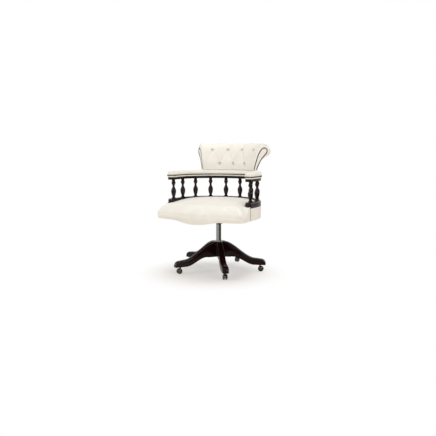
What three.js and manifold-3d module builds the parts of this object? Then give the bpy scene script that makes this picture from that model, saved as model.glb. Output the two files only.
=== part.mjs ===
// Captains chair: an upholstered swivel chair with a horseshoe gallery of turned spindles,
// a deep-buttoned scroll back and a five-legged wooden base on castors.
// Millimetres, +Z up, the sitter faces -Y and the sitter's left is +X.
// The origin lies on the floor, on the upright axis that the seat turns about.

import * as THREE from 'three';
import { mergeVertices } from 'three/addons/utils/BufferGeometryUtils.js';
import Module from 'manifold-3d';

const wasm = await Module();
wasm.setup();

// Clearances
const restGap = 0.3; // between faces that rest on each other
const turningGap = 0.5; // round a piece that turns or slides
const fabricGap = 0.6; // between stuffed leather and the wood beside it
const cutOverrun = 4; // how far a cut runs past the face it opens
const mergeDistance = 0.0005;
const smallSegments = 10; // round pins and holes
const boltSegments = 12;

// Castors: a pair of domed wheels on one axle, under a narrow hood
const wheelRadius = 19.5;
const wheelPairWidth = 35;
const wheelSpacing = 8.4;
const treadWidth = 3.4;
const wheelFaceRadius = 6;
const wheelSegments = 12;
const axleRadius = 3.2;
const bossRadius = 7; // round the axle
const castorTrail = 6;
const hoodRim = 1;
const hoodLap = 10; // degrees below the axle where the hood's rim ends
const bossLap = 20;
const bossSteps = 4;
const collarHeight = 8.2;
const collarRadius = 7;
const stemRadius = 5.2;
const stemLength = 26;

// Legs and hub
const legCount = 5;
const castorCircleRadius = 300;
const legTipOverhang = 33;
const hubFaceRadius = 34; // from the axis to each flat face of the hub
const hubHeight = 107;
const archHeight = 53; // from the toe's underside up to the hub's underside
const toeHeight = 46;
const toeFall = 4.5; // how far the toe's top slopes down before its rounding
const legRootWidth = 38;
const legToeWidth = 44;
const legEdge = 6;
const legFootEdge = 2;
const tieThickness = 3;
const tieReach = 88;
const tieWidth = 24;
const tieWaist = 27;

// Lift column
const columnRadius = 18;
const columnWall = 2;
const columnRise = 120; // tube above the hub
const columnSegments = 16;
const footFlange = 3;
const footPlugHeight = 20;
const rodRadius = 14;
const rodConeTaper = 1; // how much thinner the rod is in its socket
const bushDepth = 60;
const bushFlange = 4;
const valveRadius = 4;
const valveHeight = 2.2;

// Tilt mechanism
const housingLift = 4.4; // from the bush up to the housing's floor
const housingWall = 3;
const housingHalfWidth = 42;
const housingFront = 72;
const housingBack = 40;
const housingRearHeight = 18;
const housingFrontHeight = 29;
const housingChin = 10; // how far the underside rises towards the front
const housingChinRun = 42;
const socketRadius = 20;
const socketHeight = 13;
const pivotForward = 40; // from the column's axis to the tilt pin
const pivotHeight = 23; // from the housing's floor to the tilt pin
const pinRadius = 5;
const pinHeadRadius = 8;
const pinHeadThickness = 2.5;
const earRadius = 11;
const earSteps = 6;
const springWireRadius = 2;
const springTurns = 5;
const springSideRoom = 6;
const stepsPerTurn = 8;
const wireSides = 5;
const knobRadius = 10;
const knobLength = 18;
const knobDrop = 3; // from the tilt pin down to the knob's axis
const screwRadius = 3.5;
const leverHeight = 23; // from the housing's floor to the lever's axis
const leverRadius = 4;
const leverReach = 175;
const leverTail = 2; // how far the lever's inner end passes the axis
const paddleLength = 46;
const paddleWidth = 22;
const paddleThickness = 7;
const paddleSteps = 6;
const plateHeight = 44.2; // from the housing's floor to the seat plate's underside
const plateThickness = 4.5;
const plateHalfWidth = 75;
const plateFront = 100;
const plateBack = 62;

// Seat
const frameHeight = 81.7;
const ledgeHeight = 50;
const ledgeReach = 28; // how far the ledge stands in from the upper ring
const frontRailWidth = 84;
const crossRailWidth = 36;
const crossRailHeight = 22;
const webbingThickness = 2.4;
const strapWidth = 30;
const strapGapsAcross = 3;
const strapGapsDeep = 3;
const lastStrapShare = 0.38; // of the back's depth: where the rearmost gap ends
const dustCoverThickness = 1.5;
const borderThickness = 4;
const borderDrop = 1; // how far the leather hangs below the frame
const seamSetback = 3; // side seam behind the gallery's front end
const seatHalfWidth = 318;
const seatFront = 337;
const seatBow = 47; // how much further forward the seat's middle is than its corners
const bowPower = 1.6;
const bowSteps = 12;
const seatCornerRadius = 26;
const cornerSteps = 3;
const apronDepth = 30;
const apronPoint = 21; // how far the front's middle hangs below its sides
const apronPointHalfWidth = 185;
const apronFlatHalfWidth = 25; // where the dip is at its full depth
const apronWallHeight = 45;
const cushionCrown = 71; // from the webbing to the cushion's highest point
const cushionCentreForward = 60;
const crownFall = 24; // how much lower the crown is at the front than at the back
const crownFallBack = 80; // behind the column's axis, where the fall begins
const crownFallFront = 300; // ahead of the axis, where it ends
const seamLift = 76; // how much the leather's rim climbs to meet the rails' front ends
const seamLiftRun = 70; // over this length ahead of the rails

// Gallery: a horseshoe with straight arms and a half-ellipse back
const galleryDepthRadius = 279.5;
const galleryCentreBack = -51;
const armLength = 112.5; // straight part of each arm
const railHalfWidth = 21;
const railCorner = 10;
const lowerRailHeight = 39;
const lowerRailEdge = 8;
const upperRailHeight = 18;
const upperRailEdge = 3;
const gallerySteps = 22;
const spindleCount = 10;
const spindleInset = 45.5; // from the arm's end to the first spindle's axis
const spindleHeight = 131.4;
const spindleRadius = 16.5;
const spindleSegments = 10;

// Arm pad
const padCrown = 25.2; // from the widest line up to the top
const bandOverhang = 2.5; // how far the pad's foot stands out past the rail
const padOverhang = 2.5;
const padRoundness = 2.5;
const trimHeight = 9;
const trimThickness = 1.6;
const trimCornerSteps = 6;
const trimLift = 7.2; // from the pad's base to the nail strip's lower edge

// Backrest
const backEndAngle = 47.5; // from the middle to each end, about the gallery's centre
const backRise = 189.5;
const backFrontLean = 13; // how far its base stands inside the gallery's centre line
const backDepth = 132;
const backPadThickness = 18;
const backCoverThickness = 4;
const facingThickness = 4;
const backTrimInset = 9.5; // from the back's outline to the middle of the nail row
const headTrimInset = 19; // how much further in that row runs round the scroll's head
const backTrimWidth = 7;
const buttonPitch = 10.7; // degrees from one button column to the next
const upperColumns = 3; // button columns out to the outermost upper button
const buttonRadius = 8.5;
const buttonThickness = 6;
const buttonDomeShare = 0.72; // of the button's radius, at three quarters of its height
const foldDepth = 8;
const buttonDip = 6;
const dipSpread = 15;
const stationsPerPitch = 2;
const endStationRoom = 0.4; // least room before the end, as a share of one station step

// Outlines as shares of the sizes above. Each pair is a place along, then across.
const legStationShares = [0, 0.06, 0.12, 0.2, 0.3, 0.4, 0.5, 0.6, 0.7, 0.78, 0.87, 0.93, 0.965, 0.987, 1];
const ogeeEndShare = 0.765; // of the leg's length, where its top levels out
const archStartShare = 0.237;
const archEndShare = 0.736;
const toeRoundShare = 0.72; // of the toe's height, and where it begins along the leg
const toeRoundStartShare = 0.89;
const toePlanShares = [[0.965, 1], [0.987, 0.93], [1, 0.8]];
const spindleShares = [
  [0, 0.88], [0.03, 0.88], [0.075, 0.6], [0.17, 0.76], [0.25, 0.93], [0.35, 1], [0.5, 0.76],
  [0.64, 0.42], [0.73, 0.6], [0.83, 0.84], [0.91, 0.65], [0.95, 0.64], [1, 0.7],
];
const domeShares = [[0.55, 0.74]]; // wheel dome: towards its face, then its radius
const crownShares = [
  [1.017, -0.2], [1.01, 0.08], [0.992, 0.3], [0.962, 0.52],
  [0.915, 0.73], [0.86, 0.87], [0.7, 0.965], [0.35, 1],
];
const backShares = [
  [0, 0], [0.015, 0.232], [0.09, 0.446], [0.21, 0.67], [0.34, 0.835], [0.47, 0.945],
  [0.62, 1], [0.78, 0.945], [0.92, 0.83], [0.99, 0.71], [0.92, 0.597],
  [0.74, 0.505], [0.54, 0.43], [0.4, 0.338], [0.3, 0.19], [0.242, 0],
];
const padRowShares = [
  0, 0.035, 0.068, 0.097, 0.125, 0.16, 0.2, 0.24, 0.28, 0.324,
  0.36, 0.41, 0.47, 0.53, 0.59, 0.65, 0.72, 0.8,
];
const armEndShares = [0, 0.2, 0.5, 1]; // stations round each arm's rounded front end
const padCrownShares = [0, 0.4, 0.72, 1]; // of the quarter turn from the pad's side to its top
const coreRowShares = [0, 0.14, 0.27, 0.38, 0.48, 0.57, 0.66, 0.73, 0.8, 0.87, 0.94, 1];
const coverRowShares = [0.803, 0.87, 0.94, 1];
const lowerButtonShare = 0.097;
const upperButtonShare = 0.324;
const pleatEndShare = 0.5; // where the pleats over the scroll fade out
const trimRowShares = [0.03, 0.12, 0.22, 0.32, 0.4, 0.46, 0.52, 0.58, 0.64, 0.72, 0.8, 0.88, 0.97];
const headRiseShares = [0.22, 0.47]; // where the nail row turns in towards the head
const headFallShares = [0.62, 0.86]; // and where it comes back out

// Heights that follow from the sizes above, from the floor up
const wheelCentreZ = wheelRadius * Math.cos(Math.PI / wheelSegments);
const hoodRadius = wheelRadius + hoodRim;
const toeBottomZ = wheelCentreZ + hoodRadius + collarHeight + restGap;
const hubBottomZ = toeBottomZ + archHeight;
const hubTopZ = hubBottomZ + hubHeight;
const columnTopZ = hubTopZ + columnRise;
const bushTopZ = columnTopZ + restGap + bushFlange;
const housingFloorZ = bushTopZ + housingLift;
const pivotZ = housingFloorZ + pivotHeight;
const leverZ = housingFloorZ + leverHeight;
const socketTopZ = housingFloorZ + socketHeight;
const plateBottomZ = housingFloorZ + plateHeight;
const frameBottomZ = plateBottomZ + plateThickness + restGap;
const ledgeZ = frameBottomZ + ledgeHeight;
const frameTopZ = frameBottomZ + frameHeight;
const cushionBottomZ = ledgeZ + webbingThickness + 2 * restGap;
const cushionTopZ = cushionBottomZ + cushionCrown;
const apronZ = frameBottomZ - borderDrop;
const lowerRailZ = frameTopZ + restGap;
const lowerRailTopZ = lowerRailZ + lowerRailHeight;
const upperRailZ = lowerRailTopZ + spindleHeight + 2 * restGap;
const upperRailTopZ = upperRailZ + upperRailHeight;
const padBottomZ = upperRailTopZ + restGap;
const padBandZ = padBottomZ + trimLift + trimHeight + restGap + padOverhang;
const padTopZ = padBandZ + padCrown;
const backBaseZ = padTopZ + restGap;

// Places in plan that follow from the sizes above
const galleryHalfWidth = seatHalfWidth - railHalfWidth + restGap; // the rail is flush with the seat
const galleryFrontY = galleryCentreBack - armLength;
const bandHalfWidth = railHalfWidth + bandOverhang;
const bandCorner = railCorner + bandOverhang;
const bandFrontY = galleryFrontY - bandOverhang;
const legRootRadius = hubFaceRadius + restGap;
const legLength = castorCircleRadius + legTipOverhang - legRootRadius;
const stemPlace = castorCircleRadius - castorTrail;
const seamOffset = railHalfWidth - borderThickness;
const frameOffset = seamOffset - restGap;
const ledgeOffset = railHalfWidth + ledgeReach;
const frontRailY = -seatFront + apronDepth + frontRailWidth;

// Finishes
const leather = new THREE.MeshStandardMaterial({ color: '#eee9de', roughness: 0.5 });
const mahogany = new THREE.MeshStandardMaterial({ color: '#2a1110', roughness: 0.3 });
const beech = new THREE.MeshStandardMaterial({ color: '#c6a679', roughness: 0.7 });
const chrome = new THREE.MeshStandardMaterial({ color: '#c4c4c6', roughness: 0.12, metalness: 1 });
const pewter = new THREE.MeshStandardMaterial({ color: '#55504b', roughness: 0.3, metalness: 1 });
const blackSteel = new THREE.MeshStandardMaterial({ color: '#26272a', roughness: 0.45, metalness: 0.6 });
const springSteel = new THREE.MeshStandardMaterial({ color: '#6d6f73', roughness: 0.35, metalness: 1 });
const nylon = new THREE.MeshStandardMaterial({ color: '#1d1d1f', roughness: 0.55 });
const jute = new THREE.MeshStandardMaterial({ color: '#9c8861', roughness: 0.9 });
const lining = new THREE.MeshStandardMaterial({ color: '#232326', roughness: 0.95 });

const { lerp, clamp, smoothstep, degToRad, radToDeg } = THREE.MathUtils;
const quarter = Math.PI / 2;

// Closed solids

// One closed skin with shared corners, no slivers without area, and its faces pointing out.
function closed(geometry) {
  const bare = new THREE.BufferGeometry();
  bare.setAttribute('position', geometry.getAttribute('position'));
  bare.setIndex(geometry.index);
  const merged = mergeVertices(bare, mergeDistance);
  const place = merged.getAttribute('position');
  const corners = merged.index.array;
  const kept = [];
  let volume = 0;
  const [a, b, c] = [0, 1, 2].map(() => new THREE.Vector3());
  for (let i = 0; i < corners.length; i += 3) {
    const face = [corners[i], corners[i + 1], corners[i + 2]];
    if (new Set(face).size < 3) continue;
    [a, b, c].forEach((corner, k) => corner.fromBufferAttribute(place, face[k]));
    volume += a.dot(b.clone().cross(c));
    kept.push(...face);
  }
  if (volume < 0) kept.reverse();
  merged.setIndex(kept);
  return merged;
}

function solid(geometry) {
  const skin = closed(geometry);
  return new wasm.Manifold(new wasm.Mesh({
    numProp: 3,
    vertProperties: new Float32Array(skin.getAttribute('position').array),
    triVerts: new Uint32Array(skin.index.array),
  }));
}

function skinOf(manifold) {
  const mesh = manifold.getMesh();
  const geometry = new THREE.BufferGeometry();
  geometry.setAttribute('position', new THREE.BufferAttribute(mesh.vertProperties, 3));
  geometry.setIndex(new THREE.BufferAttribute(mesh.triVerts, 1));
  return geometry;
}

function cut(geometry, ...tools) {
  return skinOf(tools.reduce((body, tool) => body.subtract(solid(tool)), solid(geometry)));
}

function join(geometry, ...others) {
  return skinOf(others.reduce((body, other) => body.add(solid(other)), solid(geometry)));
}

// A flat outline raised from one height to another.
function slab(outline, bottom, top, holes = []) {
  const shape = new THREE.Shape(outline);
  shape.holes = holes.map((hole) => new THREE.Path(hole));
  const raised = new THREE.ExtrudeGeometry(shape, { depth: top - bottom, bevelEnabled: false });
  return raised.translate(0, 0, bottom);
}

// The same with its upper and lower edges rounded inside the outline.
function moulding(outline, bottom, top, edge, edgeSteps) {
  const raised = new THREE.ExtrudeGeometry(new THREE.Shape(outline), {
    depth: top - bottom - 2 * edge,
    bevelThickness: edge,
    bevelSize: edge,
    bevelOffset: -edge,
    bevelSegments: edgeSteps,
  });
  return raised.translate(0, 0, bottom + edge);
}

// A box between two corners.
function block(x, y, z) {
  const box = new THREE.BoxGeometry(x[1] - x[0], y[1] - y[0], z[1] - z[0]);
  return box.translate((x[0] + x[1]) / 2, (y[0] + y[1]) / 2, (z[0] + z[1]) / 2);
}

// A profile of [radius, height] pairs turned round the upright axis.
function turned(profile, segments) {
  const points = profile.map(([radius, height]) => new THREE.Vector2(radius, height));
  return closed(new THREE.LatheGeometry(points, segments).rotateX(quarter));
}

function rod(radius, bottom, top, segments) {
  return turned([[0, bottom], [radius, bottom], [radius, top], [0, top]], segments);
}

function tube(inner, outer, bottom, top, segments) {
  return turned([[inner, bottom], [outer, bottom], [outer, top], [inner, top], [inner, bottom]], segments);
}

// A closed skin through rings of points, with a flat cap on the first and the last ring.
function loft(rings) {
  const count = rings[0].length;
  const corners = [];
  const cap = (ring, first, flip) => {
    const normal = new THREE.Vector3();
    ring.forEach((point, i) => normal.add(point.clone().cross(ring[(i + 1) % count])));
    normal.normalize();
    const steady = Math.abs(normal.z) > 0.7 ? new THREE.Vector3(1, 0, 0) : new THREE.Vector3(0, 0, 1);
    const across = steady.cross(normal).normalize();
    const up = normal.clone().cross(across);
    const flat = ring.map((point) => new THREE.Vector2(point.dot(across), point.dot(up)));
    for (const [i, j, k] of THREE.ShapeUtils.triangulateShape(flat, [])) {
      const side = flat[j].clone().sub(flat[i]).cross(flat[k].clone().sub(flat[i]));
      const turn = side > 0 !== flip;
      corners.push(first + i, first + (turn ? j : k), first + (turn ? k : j));
    }
  };
  for (let ring = 0; ring + 1 < rings.length; ring++) {
    for (let j = 0; j < count; j++) {
      const k = (j + 1) % count;
      const [near, far] = [ring * count, (ring + 1) * count];
      corners.push(near + j, near + k, far + k, near + j, far + k, far + j);
    }
  }
  cap(rings[0], 0, true);
  cap(rings[rings.length - 1], (rings.length - 1) * count, false);
  const geometry = new THREE.BufferGeometry();
  geometry.setFromPoints(rings.flat());
  geometry.setIndex(corners);
  return closed(geometry);
}

// Outlines in plan

function arc(centreX, centreY, radiusX, radiusY, from, to, steps) {
  return Array.from({ length: steps + 1 }, (_, i) => {
    const angle = degToRad(lerp(from, to, i / steps));
    return new THREE.Vector2(centreX + radiusX * Math.cos(angle), centreY + radiusY * Math.sin(angle));
  });
}

function circle(x, y, radius, segments) {
  return arc(x, y, radius, radius, 0, 360, segments).slice(0, -1);
}

function rectangle(x, y) {
  return [[x[0], y[0]], [x[1], y[0]], [x[1], y[1]], [x[0], y[1]]].map(([u, v]) => new THREE.Vector2(u, v));
}

// The back half of the gallery's line, moved outward by an offset, from the left arm to the right.
function galleryArc(offset, from, to) {
  return arc(
    0,
    galleryCentreBack,
    galleryHalfWidth + offset,
    galleryDepthRadius + offset,
    from,
    to,
    gallerySteps,
  );
}

// A horseshoe strip between two offsets, with rounded corners at both front ends.
function horseshoe(outer, inner, frontY, corner, steps = cornerSteps) {
  const endArc = (x, from) => (corner > 0
    ? arc(x, frontY + corner, corner, corner, from, from + 90, steps)
    : [new THREE.Vector2(x, frontY)]);
  const outside = galleryHalfWidth + outer - corner;
  const inside = galleryHalfWidth + inner + corner;
  return [
    ...endArc(inside, 180),
    ...endArc(outside, 270),
    ...galleryArc(outer, 0, 180),
    ...endArc(-outside, 180),
    ...endArc(-inside, 270),
    ...galleryArc(inner, 180, 0),
  ];
}

// How far forward the seat's bowed front reaches at x, when it is moved in by an inset.
function bowY(x, inset) {
  const share = Math.abs(x) / (seatHalfWidth - seatCornerRadius / 2);
  return seatBow * share ** bowPower - seatFront + inset;
}

// The seat in plan: bowed front, rounded front corners, straight sides, half-ellipse back.
function seatOutline(frontInset, sideInset, corner, backOffset) {
  const side = seatHalfWidth - sideInset;
  const lean = Math.atan((bowPower * seatBow) / seatHalfWidth);
  const bowEnd = side - corner * (1 - Math.sin(lean));
  const cornerY = bowY(bowEnd, frontInset) + corner * Math.cos(lean);
  const bow = Array.from({ length: bowSteps - 1 }, (_, i) => {
    const x = lerp(-bowEnd, bowEnd, (i + 1) / bowSteps);
    return new THREE.Vector2(x, bowY(x, frontInset));
  });
  const right = arc(side - corner, cornerY, corner, corner, radToDeg(lean) - 90, 0, cornerSteps);
  const left = right.map((point) => new THREE.Vector2(-point.x, point.y)).reverse();
  const back = arc(0, galleryCentreBack, side, galleryDepthRadius + backOffset, 0, 180, gallerySteps);
  return [...bow, ...right, ...back, ...left];
}

// A mesh of its own material for each piece of the chair.
function piece(name, geometry, material) {
  const mesh = new THREE.Mesh(geometry, material.clone());
  mesh.name = name;
  return mesh;
}

// Base: hub, legs, castors and the star-shaped steel tie under them

function legTopZ(share) {
  const toeTopZ = toeBottomZ + toeHeight;
  const ogee = lerp(hubTopZ, toeTopZ, smoothstep(share, 0, ogeeEndShare));
  const slope = toeFall * clamp((share - ogeeEndShare) / (toeRoundStartShare - ogeeEndShare), 0, 1);
  const tip = clamp((share - toeRoundStartShare) / (1 - toeRoundStartShare), 0, 1);
  return ogee - slope - toeRoundShare * toeHeight * (1 - Math.sqrt(1 - tip * tip));
}

function legBottomZ(share) {
  return lerp(hubBottomZ, toeBottomZ, smoothstep(share, archStartShare, archEndShare));
}

function legHalfWidth(share) {
  const full = lerp(legRootWidth, legToeWidth, share) / 2;
  const last = toePlanShares.findIndex(([place]) => share <= place);
  return full * (last > 0 ? toePlanShares[last][1] : 1);
}

function legGeometry() {
  const rings = legStationShares.map((share) => {
    const x = legRootRadius + share * legLength;
    const [low, high, half] = [legBottomZ(share), legTopZ(share), legHalfWidth(share)];
    const edge = Math.min(legEdge, (high - low) / 3);
    const side = [
      [half - legFootEdge, low],
      [half, low + legFootEdge],
      [half, high - edge],
      [half - edge, high],
    ];
    const mirrored = side.map(([y, z]) => [-y, z]).reverse();
    return [...side, ...mirrored].map(([y, z]) => new THREE.Vector3(x, y, z));
  });
  const socketTop = toeBottomZ + stemLength + restGap;
  const socket = rod(stemRadius + restGap, toeBottomZ - cutOverrun, socketTop, smallSegments);
  return cut(loft(rings), socket.translate(stemPlace, 0, 0));
}

// Placed with its stem on the origin's upright axis and its wheels trailing towards +X.
function castorBodyGeometry() {
  const halfThick = wheelSpacing / 2 - turningGap;
  const hood = [
    ...arc(castorTrail, wheelCentreZ, hoodRadius, hoodRadius, -hoodLap, 180 + hoodLap, wheelSegments - 2),
    ...arc(castorTrail, wheelCentreZ, bossRadius, bossRadius, 180 + bossLap, 360 - bossLap, bossSteps),
  ];
  const axleHole = circle(castorTrail, wheelCentreZ, axleRadius + turningGap, smallSegments);
  const fin = slab(hood, -halfThick, halfThick, [axleHole]).rotateX(quarter);
  const collar = rod(collarRadius, wheelCentreZ + wheelRadius, toeBottomZ - restGap, boltSegments);
  const stem = rod(stemRadius, toeBottomZ - collarHeight / 2, toeBottomZ + stemLength, smallSegments);
  return join(fin, collar, stem);
}

function wheelPairGeometry() {
  const half = wheelPairWidth / 2;
  const inner = wheelSpacing / 2;
  const dome = half - inner - treadWidth;
  const side = [
    [axleRadius, inner],
    [wheelRadius, inner],
    [wheelRadius, inner + treadWidth],
    ...domeShares.map(([across, radius]) => [radius * wheelRadius, inner + treadWidth + across * dome]),
    [wheelFaceRadius, half],
    [0, half],
  ];
  const mirrored = side.map(([radius, across]) => [radius, -across]).reverse();
  const wheels = turned([...mirrored, ...side], wheelSegments);
  return wheels.rotateZ(Math.PI / wheelSegments).rotateX(quarter);
}

function hubGeometry() {
  const corner = hubFaceRadius / Math.cos(Math.PI / legCount);
  const core = new THREE.CylinderGeometry(corner, corner, hubHeight, legCount).rotateX(quarter);
  const bore = rod(columnRadius + restGap, hubBottomZ - cutOverrun, hubTopZ + cutOverrun, columnSegments);
  return cut(core.translate(0, 0, hubBottomZ + hubHeight / 2), bore);
}

function tieGeometry() {
  const outline = [];
  for (let leg = 0; leg < legCount; leg++) {
    const arm = (2 * Math.PI * (leg + 0.5)) / legCount - quarter;
    const notch = (2 * Math.PI * (leg + 1)) / legCount - quarter;
    for (const side of [-1, 1]) {
      const corner = new THREE.Vector2(tieReach, (side * tieWidth) / 2);
      outline.push(corner.rotateAround(new THREE.Vector2(), arm));
    }
    outline.push(new THREE.Vector2(tieWaist, 0).rotateAround(new THREE.Vector2(), notch));
  }
  const top = hubBottomZ - restGap;
  return slab(outline, top - tieThickness, top);
}

function makeBase() {
  const base = new THREE.Group();
  base.add(piece('hub', hubGeometry(), mahogany));
  base.add(piece('hub_tie_plate', tieGeometry(), blackSteel));
  for (let leg = 0; leg < legCount; leg++) {
    const arm = new THREE.Group();
    arm.rotation.z = (2 * Math.PI * (leg + 0.5)) / legCount - quarter;
    arm.add(piece(`leg_${leg + 1}`, legGeometry(), mahogany));
    const castor = new THREE.Group();
    castor.position.x = stemPlace;
    castor.add(piece(`castor_${leg + 1}_body`, castorBodyGeometry(), pewter));
    const wheels = piece(`castor_${leg + 1}_wheels`, wheelPairGeometry(), pewter);
    wheels.position.set(castorTrail, 0, wheelCentreZ);
    castor.add(wheels);
    arm.add(castor);
    base.add(arm);
  }
  return base;
}

// Column: a chromed tube held in the hub, a foot that closes it, a guide bush and the lift rod

function makeColumn() {
  const column = new THREE.Group();
  const bore = columnRadius - columnWall;
  const tubeBottomZ = hubBottomZ + footFlange + restGap;
  const plugTopZ = hubBottomZ + footFlange + footPlugHeight;
  const foot = [
    [0, hubBottomZ],
    [columnRadius, hubBottomZ],
    [columnRadius, hubBottomZ + footFlange],
    [bore - restGap, hubBottomZ + footFlange],
    [bore - restGap, plugTopZ],
    [0, plugTopZ],
  ];
  const rodBore = rodRadius + turningGap;
  const bush = [
    [rodBore, columnTopZ - bushDepth],
    [bore - restGap, columnTopZ - bushDepth],
    [bore - restGap, columnTopZ + restGap],
    [columnRadius, columnTopZ + restGap],
    [columnRadius, bushTopZ],
    [rodBore, bushTopZ],
    [rodBore, columnTopZ - bushDepth],
  ];
  const rodTopZ = socketTopZ + restGap;
  const lift = [
    [0, plugTopZ + restGap],
    [rodRadius, plugTopZ + restGap],
    [rodRadius, housingFloorZ - turningGap],
    [rodRadius - rodConeTaper, housingFloorZ],
    [rodRadius - rodConeTaper, rodTopZ],
    [valveRadius, rodTopZ],
    [valveRadius, rodTopZ + valveHeight],
    [0, rodTopZ + valveHeight],
  ];
  const outerTube = tube(bore, columnRadius, tubeBottomZ, columnTopZ, columnSegments);
  column.add(piece('column_tube', outerTube, chrome));
  column.add(piece('column_foot', turned(foot, columnSegments), blackSteel));
  column.add(piece('column_bush', turned(bush, columnSegments), nylon));
  column.add(piece('lift_rod', turned(lift, columnSegments), chrome));
  return column;
}

// Tilt mechanism

// A side view of [y, z] points given a thickness across the chair, from one x to another.
function sideCut(outline, fromX, toX, holes = []) {
  const standUp = new THREE.Matrix4().makeBasis(
    new THREE.Vector3(0, 1, 0),
    new THREE.Vector3(0, 0, 1),
    new THREE.Vector3(1, 0, 0),
  );
  return slab(outline, fromX, toX, holes).applyMatrix4(standUp);
}

// A round bar across the chair.
function crossBar(radius, y, z, fromX, toX, segments) {
  return rod(radius, fromX, toX, segments).rotateY(quarter).translate(0, y, z);
}

function housingGeometry() {
  const [floor, rear] = [housingFloorZ, housingFloorZ + housingRearHeight];
  const front = housingFloorZ + housingFrontHeight;
  const profile = (inset, topRoom) => [
    [-housingFront + inset, floor + housingChin + inset],
    [-housingFront + housingChinRun + inset, floor + inset],
    [housingBack - inset, floor + inset],
    [housingBack - inset, rear + topRoom],
    [-pivotForward + 2 * earRadius, rear + topRoom],
    [-pivotForward + earRadius, front + topRoom],
    [-housingFront + inset, front + topRoom],
  ].map(([y, z]) => new THREE.Vector2(y, z));
  const half = housingHalfWidth;
  const shell = sideCut(profile(0, 0), -half, half);
  const hollow = sideCut(profile(housingWall, cutOverrun), -half + housingWall, half - housingWall);
  const leverEar = sideCut(
    [
      new THREE.Vector2(earRadius, rear - housingWall),
      ...arc(0, leverZ, leverRadius + housingWall, leverRadius + housingWall, 0, 180, earSteps),
      new THREE.Vector2(-earRadius, rear - housingWall),
    ],
    -half,
    -half + housingWall,
  );
  const socket = rod(socketRadius, floor + housingWall / 2, socketTopZ, columnSegments);
  const rodHole = rod(
    rodRadius - rodConeTaper + restGap,
    floor - cutOverrun,
    socketTopZ + cutOverrun,
    columnSegments,
  );
  const [leftOut, rightOut] = [-half - cutOverrun, half + cutOverrun];
  const innerFace = -half + 2 * housingWall;
  const pinHole = crossBar(pinRadius + restGap, -pivotForward, pivotZ, leftOut, rightOut, boltSegments);
  const leverHole = crossBar(leverRadius + turningGap, 0, leverZ, leftOut, innerFace, smallSegments);
  const screwHole = rod(
    screwRadius + turningGap,
    housingFront - 2 * housingWall,
    housingFront + cutOverrun,
    smallSegments,
  );
  screwHole.rotateX(quarter).translate(0, 0, pivotZ - knobDrop);
  const pressed = join(cut(shell, hollow), leverEar, socket);
  return cut(pressed, rodHole, pinHole, leverHole, screwHole);
}

function pinGeometry() {
  const seat = housingHalfWidth + turningGap + plateThickness + restGap;
  const end = seat + pinHeadThickness;
  const profile = [
    [0, -end],
    [pinHeadRadius, -end],
    [pinHeadRadius, -seat],
    [pinRadius, -seat],
    [pinRadius, seat],
    [pinHeadRadius, seat],
    [pinHeadRadius, end],
    [0, end],
  ];
  return turned(profile, boltSegments).rotateY(quarter).translate(0, -pivotForward, pivotZ);
}

// A torsion spring wound round the tilt pin, one unbroken wire.
function springGeometry() {
  const radius = pinRadius + turningGap + springWireRadius;
  const half = housingHalfWidth - housingWall - springSideRoom;
  const steps = springTurns * stepsPerTurn;
  const centre = new THREE.Vector3(0, -pivotForward, pivotZ);
  const path = Array.from({ length: steps + 1 }, (_, i) => {
    const angle = (2 * Math.PI * i) / stepsPerTurn;
    const x = lerp(-half, half, i / steps);
    return new THREE.Vector3(x, radius * Math.cos(angle), radius * Math.sin(angle)).add(centre);
  });
  const leastGap = path[0].distanceTo(path[stepsPerTurn]) - 2 * springWireRadius;
  console.log(`tilt spring: ${leastGap.toFixed(1)} mm between neighbouring turns`);
  const rings = path.map((point, i) => {
    const along = path[Math.min(i + 1, steps)].clone().sub(path[Math.max(i - 1, 0)]).normalize();
    const out = point.clone().sub(centre).setX(0).normalize();
    const up = along.clone().cross(out).normalize();
    out.crossVectors(up, along);
    return Array.from({ length: wireSides }, (_, k) => {
      const angle = (2 * Math.PI * k) / wireSides;
      const reach = out.clone().multiplyScalar(springWireRadius * Math.cos(angle));
      return point.clone().add(reach).addScaledVector(up, springWireRadius * Math.sin(angle));
    });
  });
  return loft(rings);
}

function knobGeometry() {
  const start = housingFront + turningGap;
  const screwTip = pivotForward + pinRadius + turningGap + 2 * springWireRadius + turningGap;
  const chamfer = knobRadius / 6;
  const profile = [
    [0, screwTip],
    [screwRadius, screwTip],
    [screwRadius, start],
    [knobRadius - chamfer, start],
    [knobRadius, start + chamfer],
    [knobRadius, start + knobLength - chamfer],
    [knobRadius - chamfer, start + knobLength],
    [0, start + knobLength],
  ];
  return turned(profile, boltSegments).rotateX(quarter).translate(0, 0, pivotZ - knobDrop);
}

function leverGeometry() {
  const bar = crossBar(leverRadius, 0, leverZ, -leverReach + paddleLength / 2, leverTail, smallSegments);
  const end = paddleWidth / 2;
  const outline = [
    ...arc(-leverReach + end, 0, end, end, 90, 270, paddleSteps),
    new THREE.Vector2(-leverReach + paddleLength, -end / 2),
    new THREE.Vector2(-leverReach + paddleLength, end / 2),
  ];
  const half = paddleThickness / 2;
  return join(bar, slab(outline, leverZ - half, leverZ + half));
}

function plateGeometry() {
  const inner = housingHalfWidth + turningGap;
  const flat = block(
    [-plateHalfWidth, plateHalfWidth],
    [-plateFront, plateBack],
    [plateBottomZ, plateBottomZ + plateThickness],
  );
  const ear = [
    ...arc(-pivotForward, pivotZ, earRadius, earRadius, 180, 360, earSteps),
    new THREE.Vector2(-pivotForward + 2 * earRadius, plateBottomZ + plateThickness / 2),
    new THREE.Vector2(-pivotForward - 2 * earRadius, plateBottomZ + plateThickness / 2),
  ];
  const hole = circle(-pivotForward, pivotZ, pinRadius + turningGap, boltSegments);
  const ears = [inner, -inner - plateThickness].map((x) => sideCut(ear, x, x + plateThickness, [hole]));
  return join(flat, ...ears);
}

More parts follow.
